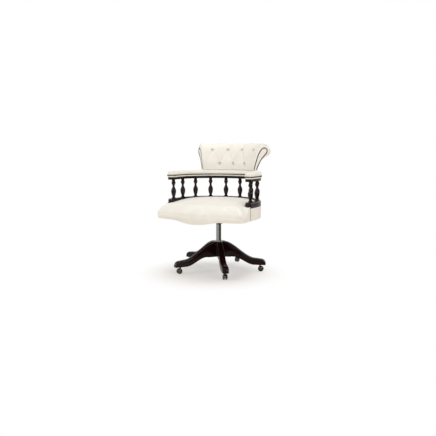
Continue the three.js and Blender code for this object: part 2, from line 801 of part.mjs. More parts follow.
function makeMechanism() {
  const mechanism = new THREE.Group();
  mechanism.add(piece('tilt_housing', housingGeometry(), blackSteel));
  mechanism.add(piece('tilt_pivot_pin', pinGeometry(), springSteel));
  mechanism.add(piece('tilt_spring', springGeometry(), springSteel));
  mechanism.add(piece('tension_knob', knobGeometry(), nylon));
  mechanism.add(piece('lift_lever', leverGeometry(), blackSteel));
  mechanism.add(piece('seat_plate', plateGeometry(), blackSteel));
  return mechanism;
}

// Seat: a beech ring with webbing on its ledge, the stuffed cushion, side leather and dust cover

function seatFrameGeometry() {
  const seamY = galleryFrontY + seamSetback;
  const outerInset = borderThickness + restGap;
  const ledgeSide = galleryHalfWidth - ledgeOffset;
  const opening = [
    new THREE.Vector2(-ledgeSide, frontRailY),
    new THREE.Vector2(ledgeSide, frontRailY),
    ...galleryArc(-ledgeOffset, 0, 180),
  ];
  const outer = seatOutline(apronDepth, outerInset, seatCornerRadius, frameOffset);
  const ledge = slab(outer, frameBottomZ, ledgeZ, [opening]);
  const ring = slab(horseshoe(frameOffset, -railHalfWidth, seamY, 0), ledgeZ - ledgeHeight / 4, frameTopZ);
  const span = [-ledgeSide - ledgeReach / 2, ledgeSide + ledgeReach / 2];
  const rails = [crossRailWidth - plateFront, plateBack].map((y) => block(
    span,
    [y - crossRailWidth, y],
    [frameBottomZ, frameBottomZ + crossRailHeight],
  ));
  return join(ledge, ring, ...rails);
}

function webbingGeometry() {
  const side = galleryHalfWidth - railHalfWidth - ledgeReach / 3;
  const frontY = frontRailY - ledgeReach / 2;
  const outline = [
    new THREE.Vector2(-side, frontY),
    new THREE.Vector2(side, frontY),
    ...galleryArc(side - galleryHalfWidth, 0, 180),
  ];
  const wide = side - 2 * strapWidth;
  const deep = galleryCentreBack + galleryDepthRadius * lastStrapShare - frontY - strapWidth;
  const cellX = (2 * wide + strapWidth) / strapGapsAcross;
  const cellY = (deep + strapWidth) / strapGapsDeep;
  const bottom = ledgeZ + restGap;
  const top = bottom + webbingThickness;
  const gaps = [];
  for (let i = 0; i < strapGapsAcross; i++) {
    for (let j = 0; j < strapGapsDeep; j++) {
      const x = -wide + i * cellX;
      const y = frontY + strapWidth + j * cellY;
      const through = [bottom - cutOverrun, top + cutOverrun];
      gaps.push(block([x, x + cellX - strapWidth], [y, y + cellY - strapWidth], through));
    }
  }
  return cut(slab(outline, bottom, top), ...gaps);
}

// The stuffed seat: a crowned top, walls that swell a little, and a front hem that dips in the
// middle. It wraps over the frame's front and is shaped to the gallery where that stands on it.
function cushionGeometry() {
  const outline = seatOutline(0, 0, seatCornerRadius, railHalfWidth);
  const centre = new THREE.Vector2(0, -cushionCentreForward);
  const rimZ = apronZ + apronWallHeight;
  const hem = outline.map((point) => {
    const level = smoothstep(Math.abs(point.x), apronFlatHalfWidth, apronPointHalfWidth);
    const dip = point.y < galleryFrontY ? apronPoint * (1 - level) : 0;
    return new THREE.Vector3(point.x, point.y, apronZ - dip);
  });
  const crown = crownShares.map(([scale, height]) => outline.map((point) => {
    const at = point.clone().sub(centre).multiplyScalar(scale).add(centre);
    const top = cushionTopZ - crownFall * smoothstep(-at.y, -crownFallBack, crownFallFront);
    const z = height < 0 ? rimZ + height * apronWallHeight : lerp(rimZ, top, height);
    const nearRails = smoothstep(point.y, galleryFrontY - seamLiftRun, galleryFrontY);
    const lift = seamLift * nearRails * (1 - Math.max(height, 0)) ** 2;
    return new THREE.Vector3(at.x, at.y, z + lift);
  }));
  const stuffed = loft([hem, ...crown]);
  const low = apronZ - apronPoint - cutOverrun;
  const wide = railHalfWidth + 2 * cutOverrun + seatHalfWidth - galleryHalfWidth;
  const sideInset = borderThickness + restGap - fabricGap;
  const underSeat = slab(
    seatOutline(apronDepth - fabricGap, sideInset, seatCornerRadius, railHalfWidth),
    low,
    cushionBottomZ,
  );
  const underRail = slab(
    horseshoe(wide, -railHalfWidth - fabricGap, galleryFrontY + seamSetback - fabricGap, 0),
    low,
    frameTopZ,
  );
  const rail = slab(
    horseshoe(wide, -railHalfWidth - fabricGap, galleryFrontY - fabricGap, 0),
    lowerRailZ - restGap,
    cushionTopZ + cutOverrun,
  );
  return cut(stuffed, underSeat, underRail, rail);
}

function borderGeometry() {
  const seamY = galleryFrontY + seamSetback;
  return slab(horseshoe(railHalfWidth, seamOffset, seamY, 0), apronZ, frameTopZ);
}

function dustCoverGeometry() {
  const sideInset = borderThickness + 2 * restGap;
  const outer = seatOutline(apronDepth, sideInset, seatCornerRadius, seamOffset - 2 * restGap);
  const room = 2 * turningGap;
  const hole = rectangle(
    [-plateHalfWidth - room, plateHalfWidth + room],
    [-plateFront - room, plateBack + room],
  );
  const top = frameBottomZ - restGap;
  return slab(outer, top - dustCoverThickness, top, [hole]);
}

function makeSeat() {
  const seat = new THREE.Group();
  seat.add(piece('seat_frame', seatFrameGeometry(), beech));
  seat.add(piece('seat_webbing', webbingGeometry(), jute));
  seat.add(piece('seat_cushion', cushionGeometry(), leather));
  seat.add(piece('seat_border', borderGeometry(), leather));
  seat.add(piece('dust_cover', dustCoverGeometry(), lining));
  return seat;
}

// Gallery: two rails and ten turned spindles at equal steps along the horseshoe

const galleryLine = new THREE.CurvePath();
galleryLine.add(new THREE.LineCurve(
  new THREE.Vector2(galleryHalfWidth, galleryFrontY),
  new THREE.Vector2(galleryHalfWidth, galleryCentreBack),
));
galleryLine.add(new THREE.EllipseCurve(
  0,
  galleryCentreBack,
  galleryHalfWidth,
  galleryDepthRadius,
  0,
  Math.PI,
));
galleryLine.add(new THREE.LineCurve(
  new THREE.Vector2(-galleryHalfWidth, galleryCentreBack),
  new THREE.Vector2(-galleryHalfWidth, galleryFrontY),
));
const galleryLength = galleryLine.getLength();

function spindleGeometry() {
  const profile = spindleShares.map(([height, radius]) => [radius * spindleRadius, height * spindleHeight]);
  return turned([[0, 0], ...profile, [0, spindleHeight]], spindleSegments);
}

function makeGallery() {
  const gallery = new THREE.Group();
  const plan = horseshoe(railHalfWidth, -railHalfWidth, galleryFrontY, railCorner);
  const lower = moulding(plan, lowerRailZ, lowerRailTopZ, lowerRailEdge, 1);
  const upper = moulding(plan, upperRailZ, upperRailTopZ, upperRailEdge, 1);
  gallery.add(piece('lower_rail', closed(lower), mahogany));
  for (let i = 0; i < spindleCount; i++) {
    const along = lerp(spindleInset, galleryLength - spindleInset, i / (spindleCount - 1));
    const place = galleryLine.getPoint(along / galleryLength);
    const spindle = piece(`spindle_${i + 1}`, spindleGeometry(), mahogany);
    spindle.position.set(place.x, place.y, lowerRailTopZ + restGap);
    gallery.add(spindle);
  }
  gallery.add(piece('upper_rail', closed(upper), mahogany));
  return gallery;
}

// Backrest. Its section lies in an upright plane through the gallery's centre: the first value
// runs outward from the gallery's line, the second is the height. It is swept from end to end.

const backSection = new THREE.SplineCurve(backShares.map(([out, up]) => new THREE.Vector2(
  out * backDepth - backFrontLean,
  backBaseZ + up * backRise,
)));

// A point of the back's section, moved inward square to its surface. Both feet reach down into
// the arm pad's height, where each piece is then shaped to the pad's crown.
function sectionPoint(share, inward) {
  const point = backSection.getPointAt(share);
  const along = backSection.getTangentAt(share);
  point.x += along.y * inward;
  point.y -= along.x * inward;
  if (share === 0 || share === 1) point.y = padBandZ;
  return point;
}

// The gallery's radius about its centre, at an angle from straight back.
function galleryRadius(angle) {
  return 1 / Math.hypot(Math.sin(angle) / galleryHalfWidth, Math.cos(angle) / galleryDepthRadius);
}

function sweepPoint(angle, section) {
  const radius = galleryRadius(angle) + section.x;
  return new THREE.Vector3(
    radius * Math.sin(angle),
    galleryCentreBack + radius * Math.cos(angle),
    section.y,
  );
}

// Angles from one end of the back to the other, on the button columns and between them.
function backStations() {
  const step = degToRad(buttonPitch / stationsPerPitch);
  const end = degToRad(backEndAngle);
  const whole = Math.floor(end / step - endStationRoom);
  const inner = Array.from({ length: 2 * whole + 1 }, (_, i) => (i - whole) * step);
  return [-end, ...inner, end];
}

// The end stations stop short of the end plane by the facing's thickness.
function stationAngle(station, section) {
  const end = degToRad(backEndAngle);
  if (Math.abs(station) < end) return station;
  const setback = Math.asin((facingThickness + restGap) / (galleryRadius(end) + section.x));
  return Math.sign(station) * (end - setback);
}

function sweepBack(sectionAt) {
  return loft(backStations().map((station) => sectionAt(station).map((section) => sweepPoint(
    stationAngle(station, section),
    section,
  ))));
}

// How deep the buttoned leather is drawn in: folds run from each upper button down to its two
// lower neighbours, straight down from the lower buttons, and straight up from the upper ones.
function tuftDepth(angle, share) {
  const column = angle / degToRad(buttonPitch);
  const row = (share - lowerButtonShare) / (upperButtonShare - lowerButtonShare);
  const between = clamp(row, 0, 1);
  const toFold = (value) => Math.abs(value - 2 * Math.round(value / 2));
  const rise = Math.sin(quarter * toFold(column - between)) * Math.sin(quarter * toFold(column + between));
  const fade = 1 - smoothstep(Math.abs(column), upperColumns, upperColumns + 1);
  const top = 1 - smoothstep(share, upperButtonShare, pleatEndShare);
  const fold = foldDepth * (1 - Math.sqrt(rise)) * fade * top;
  return fold + buttonPlaces().reduce((sum, button) => {
    const radius = galleryRadius(angle) + sectionPoint(share, 0).x;
    const acrossGap = (angle - button.angle) * radius;
    const alongGap = (share - button.share) * backSection.getLength();
    return sum + buttonDip * Math.exp(-(acrossGap ** 2 + alongGap ** 2) / dipSpread ** 2);
  }, 0);
}

// Four upper buttons over three lower ones, set halfway between them.
function buttonPlaces() {
  const upper = [-upperColumns, -1, 1, upperColumns].map((column) => ({ column, share: upperButtonShare }));
  const lower = [-2, 0, 2].map((column) => ({ column, share: lowerButtonShare }));
  return [...upper, ...lower].map(({ column, share }) => ({ angle: column * degToRad(buttonPitch), share }));
}

// A shape that stands on the button's seat, facing out of the pad.
function onButtonSeat(geometry, button, lift) {
  const seat = sectionPoint(button.share, foldDepth + buttonDip);
  const along = backSection.getTangentAt(button.share);
  const out = new THREE.Vector3(0, 0, along.x).add(sweepDirection(button.angle).multiplyScalar(-along.y));
  const turn = new THREE.Quaternion().setFromUnitVectors(new THREE.Vector3(0, 0, 1), out.normalize());
  const place = sweepPoint(button.angle, seat).addScaledVector(out, lift);
  return geometry.applyQuaternion(turn).translate(...place.toArray());
}

function sweepDirection(angle) {
  return new THREE.Vector3(Math.sin(angle), Math.cos(angle), 0);
}

function buttonGeometry() {
  const rim = buttonThickness / 4;
  const profile = [
    [0, 0],
    [buttonRadius, 0],
    [buttonRadius, rim],
    [buttonRadius * buttonDomeShare, 3 * rim],
    [0, buttonThickness],
  ];
  return turned(profile, smallSegments);
}

function corePoints(inset) {
  const leatherDepth = (share) => (share < coverRowShares[0] ? backPadThickness : backCoverThickness);
  const rows = coreRowShares.map((share) => sectionPoint(share, leatherDepth(share) + restGap - inset));
  const foot = padBottomZ - (inset > 0 ? cutOverrun : 0);
  return [
    ...rows,
    new THREE.Vector2(rows[rows.length - 1].x, foot),
    new THREE.Vector2(rows[0].x, foot),
  ];
}

function backPadGeometry() {
  const rings = (station) => {
    const outer = padRowShares.map((share) => sectionPoint(share, tuftDepth(station, share)));
    const inner = coreRowShares
      .filter((share) => share <= padRowShares[padRowShares.length - 1])
      .map((share) => sectionPoint(share, backPadThickness))
      .reverse();
    return [...outer, ...inner];
  };
  const pocketRadius = buttonRadius + fabricGap;
  const pockets = buttonPlaces().map((button) => onButtonSeat(
    rod(pocketRadius, 0, backPadThickness + foldDepth, smallSegments),
    button,
    -restGap,
  ));
  return cut(sweepBack(rings), armPadSkin(restGap), ...pockets);
}

function backCoverGeometry() {
  const panel = sweepBack(() => {
    const outer = coverRowShares.map((share) => sectionPoint(share, 0));
    const inner = coverRowShares.map((share) => sectionPoint(share, backCoverThickness)).reverse();
    return [...outer, ...inner];
  });
  return cut(panel, armPadSkin(restGap));
}

// A flat piece in one end plane of the back, from one depth beyond the plane to another.
function onEndPlane(outline, side, from, to, holes = []) {
  const angle = side * degToRad(backEndAngle);
  const out = sweepDirection(angle);
  const up = new THREE.Vector3(0, 0, 1);
  const across = new THREE.Vector3().crossVectors(out, up);
  const [low, high] = side > 0 ? [from, to] : [-to, -from];
  const flat = outline.map((point) => new THREE.Vector2(galleryRadius(angle) + point.x, point.y));
  return closed(slab(flat, low, high, holes)
    .applyMatrix4(new THREE.Matrix4().makeBasis(out, up, across))
    .translate(0, galleryCentreBack, 0));
}

function facingGeometry(side) {
  const outline = [...padRowShares, ...coverRowShares].map((share) => sectionPoint(share, 0));
  return cut(onEndPlane(outline, side, -facingThickness, 0), armPadSkin(restGap));
}

// How far inside the back's outline the nail row runs: it turns in round the scroll's head.
function trimInset(share) {
  const head = smoothstep(share, ...headRiseShares) * (1 - smoothstep(share, ...headFallShares));
  return backTrimInset + headTrimInset * head;
}

function backTrimGeometry(side) {
  const edge = (sideways) => trimRowShares.map((share) => sectionPoint(share, trimInset(share) + sideways));
  const half = backTrimWidth / 2;
  const strip = [...edge(-half), ...edge(half).reverse()];
  return onEndPlane(strip, side, restGap, restGap + trimThickness);
}

function makeBack() {
  const back = new THREE.Group();
  back.add(piece('back_frame', sweepBack(() => corePoints(0)), beech));
  back.add(piece('back_pad', backPadGeometry(), leather));
  back.add(piece('back_cover', backCoverGeometry(), leather));
  for (const [name, side] of [['left', 1], ['right', -1]]) {
    back.add(piece(`back_facing_${name}`, facingGeometry(side), leather));
    back.add(piece(`back_nail_trim_${name}`, backTrimGeometry(side), pewter));
  }
  buttonPlaces().forEach((button, i) => {
    back.add(piece(`button_${i + 1}`, onButtonSeat(buttonGeometry(), button, 0), leather));
  });
  return back;
}

// Arm pad: crowned leather along the whole gallery, slotted for the back's frame

// Stations along the horseshoe, closer together round both front ends. Each gives the place of
// an offset from the gallery's line, and how much the rounded end narrows the pad there.
function armPadStations() {
  const arm = armEndShares.map((share) => {
    const toEnd = share * bandCorner;
    const taper = bandCorner - Math.sqrt(bandCorner ** 2 - (bandCorner - toEnd) ** 2);
    return { y: bandFrontY + toEnd, taper };
  });
  const right = arm.map(({ y, taper }) => ({
    taper,
    at: (offset) => [galleryHalfWidth + offset, y],
  }));
  const left = arm.map(({ y, taper }) => ({
    taper,
    at: (offset) => [-galleryHalfWidth - offset, y],
  }));
  const bend = Array.from({ length: gallerySteps + 1 }, (_, i) => {
    const angle = (Math.PI * i) / gallerySteps;
    return {
      taper: 0,
      at: (offset) => [
        (galleryHalfWidth + offset) * Math.cos(angle),
        (galleryDepthRadius + offset) * Math.sin(angle) + galleryCentreBack,
      ],
    };
  });
  return [...right, ...bend, ...left.reverse()];
}

// The pad's skin, or that skin moved outward: upright sides above the rail, then a full crown.
function armPadSkin(grown) {
  return loft(armPadStations().map(({ at, taper }) => {
    const half = bandHalfWidth - taper;
    const wide = half + padOverhang * (1 - taper / bandCorner) + grown;
    const rise = padCrown * (1 - (taper / bandCorner) ** 2 / 2) + grown;
    const crown = padCrownShares.map((step) => [
      wide * Math.cos(quarter * step) ** (2 / padRoundness),
      padBandZ + rise * Math.sin(quarter * step) ** (2 / padRoundness),
    ]);
    const side = [[half, padBottomZ], [half, padBandZ - padOverhang], ...crown.slice(0, -1)];
    const mirrored = side.map(([offset, z]) => [-offset, z]).reverse();
    return [...side, ...crown.slice(-1), ...mirrored].map(([offset, z]) => new THREE.Vector3(
      ...at(offset),
      z,
    ));
  }));
}

function armTrimGeometry() {
  const inner = bandHalfWidth + restGap;
  const outer = inner + trimThickness;
  const frontY = bandFrontY - restGap;
  const corner = bandCorner + restGap;
  const hole = horseshoe(inner, -inner, frontY, corner, trimCornerSteps);
  const outline = horseshoe(
    outer,
    -outer,
    frontY - trimThickness,
    corner + trimThickness,
    trimCornerSteps,
  );
  const bottom = padBottomZ + trimLift;
  return slab(outline, bottom, bottom + trimHeight, [hole]);
}

function makeArmPad() {
  const arms = new THREE.Group();
  const slot = sweepBack(() => corePoints(restGap));
  arms.add(piece('arm_pad', cut(armPadSkin(0), slot), leather));
  arms.add(piece('arm_nail_trim', closed(armTrimGeometry()), pewter));
  return arms;
}

const chair = new THREE.Group();
chair.add(makeBase(), makeColumn(), makeMechanism(), makeSeat(), makeGallery(), makeBack(), makeArmPad());

export default chair;
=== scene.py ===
# %% [markdown]
# # A captains chair
#
# A captains chair is an upholstered desk chair. A horseshoe of turned spindles carries the arms
# and a buttoned scroll back, and a five-legged wooden base on castors carries the seat. The
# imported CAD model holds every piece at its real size. This lesson dresses it: it builds the
# leather, the polished wood and the metal that the eye meets, and lets each piece ride on the
# body that moves it.

import math

import bmesh
import bpy
import numpy as np
from mathutils import Matrix, Vector


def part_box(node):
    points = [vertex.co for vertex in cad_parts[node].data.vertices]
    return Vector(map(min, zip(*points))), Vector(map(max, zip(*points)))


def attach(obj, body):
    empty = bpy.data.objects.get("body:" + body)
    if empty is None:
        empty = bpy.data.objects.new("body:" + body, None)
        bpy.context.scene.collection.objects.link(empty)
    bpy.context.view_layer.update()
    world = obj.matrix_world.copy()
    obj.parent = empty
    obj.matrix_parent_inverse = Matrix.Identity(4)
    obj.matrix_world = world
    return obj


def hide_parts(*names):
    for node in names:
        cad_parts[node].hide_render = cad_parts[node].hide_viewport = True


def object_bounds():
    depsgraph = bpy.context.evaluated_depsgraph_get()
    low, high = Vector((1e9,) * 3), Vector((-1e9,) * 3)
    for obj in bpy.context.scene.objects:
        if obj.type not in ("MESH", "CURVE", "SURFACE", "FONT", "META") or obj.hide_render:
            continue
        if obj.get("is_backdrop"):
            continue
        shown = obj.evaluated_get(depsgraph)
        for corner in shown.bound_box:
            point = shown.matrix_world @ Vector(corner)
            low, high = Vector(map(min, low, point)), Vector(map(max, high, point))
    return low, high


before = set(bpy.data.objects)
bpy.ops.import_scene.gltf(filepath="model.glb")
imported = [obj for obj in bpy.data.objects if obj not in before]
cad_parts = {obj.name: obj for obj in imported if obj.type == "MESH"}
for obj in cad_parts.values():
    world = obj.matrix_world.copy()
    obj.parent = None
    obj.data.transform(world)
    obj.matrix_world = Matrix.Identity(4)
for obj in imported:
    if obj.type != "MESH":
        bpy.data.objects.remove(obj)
cad_box = [list(corner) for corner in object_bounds()]

# %% [markdown]
# ## The camera
#
# The photograph was taken a little from the sitter's left and slightly above the seat. A camera
# fitted to the five castors, the column and the level rails gives the angles and the distance.
# They are kept as numbers, so the render lines up with the photograph.

# %% Place the camera
IMAGE_SIZE = 436
AZIMUTH = math.radians(28.013)
ELEVATION = math.radians(7.3245)
DISTANCE = 3.6669
AIM = Vector((0, 0, 0.3696))
FOCAL_PIXELS = 521.5
SIDE_SHIFT_PIXELS = 0.7

toward_camera = Vector((
    math.sin(AZIMUTH) * math.cos(ELEVATION),
    -math.cos(AZIMUTH) * math.cos(ELEVATION),
    math.sin(ELEVATION),
))
lens = bpy.data.cameras.new("camera")
lens.sensor_width = 36
lens.lens = FOCAL_PIXELS / IMAGE_SIZE * lens.sensor_width
lens.shift_x = -SIDE_SHIFT_PIXELS / IMAGE_SIZE
camera = bpy.data.objects.new("camera", lens)
bpy.context.collection.objects.link(camera)
camera.location = AIM + DISTANCE * toward_camera
camera.rotation_euler = (-toward_camera).to_track_quat("-Z", "Y").to_euler()
bpy.context.scene.camera = camera
bpy.context.scene.view_settings.view_transform = "Standard"
print(f"lens {lens.lens:.2f} mm at {DISTANCE} m")

# %% [markdown]
# ## Colours and nodes
#
# A material is a small network of nodes. Two helpers keep the recipes short: one turns the hex
# colour that a picture shows into the linear value that Cycles works in, and one adds a node
# with its settings, its input values and its links.

# %% Colour and node helpers
def linear(hex_colour):
    values = [int(hex_colour[i:i + 2], 16) / 255 for i in (0, 2, 4)]
    return [v / 12.92 if v <= 0.04045 else ((v + 0.055) / 1.055) ** 2.4 for v in values] + [1]


def add(tree, kind, inputs=None, stops=(), **settings):
    made = tree.nodes.new(kind)
    for name, value in settings.items():
        setattr(made, name, value)
    for name, value in (inputs or {}).items():
        if isinstance(value, bpy.types.NodeSocket):
            tree.links.new(value, made.inputs[name])
        else:
            made.inputs[name].default_value = value
    for i, (place, colour) in enumerate(stops):
        elements = made.color_ramp.elements
        stop = elements[i] if i < len(elements) else elements.new(place)
        stop.position = place
        stop.color = colour
    return made


def grey(value):
    return [value, value, value, 1]


def new_material(name):
    material = bpy.data.materials.new(name)
    material.use_nodes = True
    material.node_tree.nodes.clear()
    return material, material.node_tree


def finish_material(material, shader):
    add(material.node_tree, "ShaderNodeOutputMaterial", {"Surface": shader.outputs[0]})
    print("material:", material.name)
    return material


def per_mm(millimetres):
    """The texture scale that repeats once in that many millimetres."""
    return 1000 / millimetres


# %% [markdown]
# ## Leather
#
# The covers are pigment-finished cattle hide in ivory. The finish is an even, satin film, so the
# colour hardly varies, and what tells it from plastic is the hide's own relief: small pebbles
# with creases between them, and a slow unevenness where the hide was stretched. Real pebbles
# are about 1 mm across. They are drawn at 2.4 mm here, because finer ones vanish in the picture.
# The colour is darkened where the hide is drawn into a dimple or a fold: painted shade.

# %% Ivory leather
PEBBLE = 2.4
HIDE_PATCH = 70
CREASE_REACH = 0.02

leather, tree = new_material("pigmented_cattle_hide_ivory")
place = add(tree, "ShaderNodeTexCoord").outputs["Object"]
pebbles = add(
    tree, "ShaderNodeTexVoronoi", {"Vector": place, "Scale": per_mm(PEBBLE)},
    feature="DISTANCE_TO_EDGE",
)
crease = add(
    tree, "ShaderNodeValToRGB", {"Fac": pebbles.outputs["Distance"]},
    [(0.0, grey(0)), (0.22, grey(1))],
)
stretch = add(tree, "ShaderNodeTexNoise", {
    "Vector": place, "Scale": per_mm(HIDE_PATCH), "Detail": 3.0, "Roughness": 0.55,
})
tone = add(
    tree, "ShaderNodeValToRGB", {"Fac": stretch.outputs["Fac"]},
    [(0.32, linear("F1EDE4")), (0.68, linear("F6F3EB"))],
)
# Painted shade: the colour darkens where the surface is hemmed in by its own dimples, folds and
# creases.
deep = add(tree, "ShaderNodeAmbientOcclusion", {"Distance": CREASE_REACH}, samples=8, only_local=True)
painted_crease_shade = add(
    tree, "ShaderNodeValToRGB", {"Fac": deep.outputs["AO"]},
    [(0.3, linear("A8A19A")), (0.75, grey(1))],
)
tone_with_painted_shade = add(tree, "ShaderNodeMix", {
    "Factor": 1.0, 6: tone.outputs["Color"], 7: painted_crease_shade.outputs["Color"],
}, data_type="RGBA", blend_type="MULTIPLY")
worn = add(tree, "ShaderNodeMapRange", {
    "Value": stretch.outputs["Fac"], "To Min": 0.4, "To Max": 0.56,
})
relief = add(tree, "ShaderNodeBump", {
    "Height": crease.outputs["Color"], "Strength": 0.28, "Distance": 0.0003,
})
slow = add(tree, "ShaderNodeBump", {
    "Height": stretch.outputs["Fac"], "Strength": 0.2, "Distance": 0.003,
    "Normal": relief.outputs["Normal"],
})
shader = add(tree, "ShaderNodeBsdfPrincipled", {
    "Base Color": tone_with_painted_shade.outputs[2], "Roughness": worn.outputs["Result"],
    "Normal": slow.outputs["Normal"], "IOR": 1.48,
})
finish_material(leather, shader)

# %% [markdown]
# ## Polished mahogany
#
# The wood is mahogany stained nearly black and French polished. Under the clear film the grain
# shows only as faint red-brown streaks that run along each piece. The pieces built here carry a
# UV map in metres, with U along the grain, so that the streaks follow the curve of a rail or the
# length of a leg. The hub is a CAD solid without such a map, so its streaks run upright.

# %% Mahogany, along the grain and upright
GRAIN_LENGTH = 90
GRAIN_WIDTH = 2.2


def mahogany(name, coordinate, streaks):
    material, tree = new_material(name)
    place = add(tree, "ShaderNodeTexCoord").outputs[coordinate]
    stretched = add(tree, "ShaderNodeMapping", {"Vector": place, "Scale": streaks})
    fibre = add(tree, "ShaderNodeTexNoise", {
        "Vector": stretched.outputs["Vector"], "Scale": 1.0, "Detail": 5.0, "Roughness": 0.6,
        "Distortion": 0.4,
    })
    stain = add(
        tree, "ShaderNodeValToRGB", {"Fac": fibre.outputs["Fac"]},
        [(0.35, linear("130504")), (0.6, linear("1F0908")), (0.78, linear("30120D"))],
    )
    film = add(tree, "ShaderNodeMapRange", {
        "Value": fibre.outputs["Fac"], "To Min": 0.12, "To Max": 0.22,
    })
    pores = add(tree, "ShaderNodeBump", {
        "Height": fibre.outputs["Fac"], "Strength": 0.08, "Distance": 0.0004,
    })
    shader = add(tree, "ShaderNodeBsdfPrincipled", {
        "Base Color": stain.outputs["Color"], "Roughness": film.outputs["Result"],
        "Normal": pores.outputs["Normal"], "IOR": 1.5, "Specular IOR Level": 0.36,
    })
    return finish_material(material, shader)


polished = mahogany(
    "french_polished_mahogany", "UV", [per_mm(GRAIN_LENGTH), per_mm(GRAIN_WIDTH), 1],
)
polished_upright = mahogany(
    "french_polished_mahogany_upright", "Object",
    [per_mm(GRAIN_WIDTH), per_mm(GRAIN_WIDTH), per_mm(GRAIN_LENGTH)],
)

# %% [markdown]
# ## Metals
#
# Four metals show. The column is a drawn steel tube with a bright nickel-chrome plate. The
# castors and the nails are plated and then browned, as antique brassware is, so they are darker
# in the hollows and rubbed on the crowns. The mechanism is pressed steel under black enamel. All
# of them keep the default IOR; what changes is colour, roughness and how even the surface is.

# %% Plated, browned and bare metals
def metal(name, dark, light, roughness, mottle, dent=0.05):
    material, tree = new_material(name)
    place = add(tree, "ShaderNodeTexCoord").outputs["Object"]
    cloud = add(tree, "ShaderNodeTexNoise", {
        "Vector": place, "Scale": per_mm(mottle), "Detail": 3.0,
    })
    colour = add(
        tree, "ShaderNodeValToRGB", {"Fac": cloud.outputs["Fac"]},
        [(0.35, linear(dark)), (0.65, linear(light))],
    )
    polish = add(tree, "ShaderNodeMapRange", {
        "Value": cloud.outputs["Fac"], "To Min": roughness * 0.8, "To Max": roughness * 1.25,
    })
    waver = add(tree, "ShaderNodeBump", {
        "Height": cloud.outputs["Fac"], "Strength": dent, "Distance": 0.0005,
    })
    shader = add(tree, "ShaderNodeBsdfPrincipled", {
        "Base Color": colour.outputs["Color"], "Metallic": 1.0,
        "Roughness": polish.outputs["Result"], "Normal": waver.outputs["Normal"],
    })
    return finish_material(material, shader)


chrome = metal("chrome_plated_steel_tube", "CCC8C2", "DAD6D0", 0.14, 30)
pewter = metal("browned_zinc_castor", "4A4641", "7A736A", 0.26, 6)
nail_brass = metal("antiqued_brass_nail", "130E0C", "2A211B", 0.4, 3, 0.15)
bare_steel = metal("oiled_spring_steel", "4F5155", "7B7D80", 0.34, 5)

# %% [markdown]
# ## Enamel, nylon, beech and cloth
#
# The rest hides under the seat, but the chair is seen from every side, so each has its own
# finish: black baked enamel with a slight orange peel, moulded nylon with a fine matt texture,
# planed beech with its short flecks, woven jute straps and a black lining cloth.

# %% Enamel and nylon
def moulded(name, colour, roughness, grit, depth, coat=0.0):
    material, tree = new_material(name)
    place = add(tree, "ShaderNodeTexCoord").outputs["Object"]
    skin_noise = add(tree, "ShaderNodeTexNoise", {
        "Vector": place, "Scale": per_mm(grit), "Detail": 2.0,
    })
    shade = add(
        tree, "ShaderNodeValToRGB", {"Fac": skin_noise.outputs["Fac"]},
        [(0.2, linear(colour[0])), (0.8, linear(colour[1]))],
    )
    bump = add(tree, "ShaderNodeBump", {
        "Height": skin_noise.outputs["Fac"], "Strength": 0.3, "Distance": depth,
    })
    shader = add(tree, "ShaderNodeBsdfPrincipled", {
        "Base Color": shade.outputs["Color"], "Roughness": roughness, "IOR": 1.5,
        "Normal": bump.outputs["Normal"], "Coat Weight": coat, "Coat Roughness": 0.2,
    })
    return finish_material(material, shader)


enamel = moulded("black_baked_enamel", ("17181A", "202124"), 0.42, 1.5, 0.00008, 0.3)
nylon = moulded("moulded_black_nylon", ("1A1A1B", "242425"), 0.6, 0.8, 0.0001)
thread = moulded("waxed_brown_thread", ("3A2C24", "54423A"), 0.7, 0.9, 0.0002)

# %% Beech, jute and lining
FLECK = (1.2, 6.0)
STRAP_THREAD = 3.0
LINING_THREAD = 1.6


def planed_beech():
    material, tree = new_material("planed_beech")
    place = add(tree, "ShaderNodeTexCoord").outputs["Object"]
    along = add(tree, "ShaderNodeMapping", {
        "Vector": place, "Scale": [per_mm(FLECK[1]), per_mm(FLECK[0]), per_mm(FLECK[0])],
    })
    fleck = add(tree, "ShaderNodeTexNoise", {
        "Vector": along.outputs["Vector"], "Scale": 1.0, "Detail": 4.0,
    })
    colour = add(
        tree, "ShaderNodeValToRGB", {"Fac": fleck.outputs["Fac"]},
        [(0.3, linear("B08D5F")), (0.7, linear("CDB088"))],
    )
    shader = add(tree, "ShaderNodeBsdfPrincipled", {
        "Base Color": colour.outputs["Color"], "Roughness": 0.62, "IOR": 1.5,
    })
    return finish_material(material, shader)


def woven(name, warp, weft, thread_width):
    material, tree = new_material(name)
    place = add(tree, "ShaderNodeTexCoord").outputs["Object"]
    across = add(tree, "ShaderNodeTexWave", {
        "Vector": place, "Scale": per_mm(thread_width) / math.tau, "Distortion": 0.6,
    }, bands_direction="X")
    along = add(tree, "ShaderNodeTexWave", {
        "Vector": place, "Scale": per_mm(thread_width) / math.tau, "Distortion": 0.6,
    }, bands_direction="Y")
    crossing = add(tree, "ShaderNodeMath", {
        0: across.outputs["Fac"], 1: along.outputs["Fac"],
    }, operation="MULTIPLY")
    colour = add(
        tree, "ShaderNodeValToRGB", {"Fac": crossing.outputs["Value"]},
        [(0.1, linear(warp)), (0.7, linear(weft))],
    )
    bump = add(tree, "ShaderNodeBump", {
        "Height": crossing.outputs["Value"], "Strength": 0.5, "Distance": 0.0006,
    })
    shader = add(tree, "ShaderNodeBsdfPrincipled", {
        "Base Color": colour.outputs["Color"], "Roughness": 0.9,
        "Normal": bump.outputs["Normal"], "Sheen Weight": 0.3,
    })
    return finish_material(material, shader)


beech = planed_beech()
jute = woven("woven_jute_strap", "7C6842", "B09A6C", STRAP_THREAD)
lining = woven("black_lining_cloth", "141416", "26262A", LINING_THREAD)

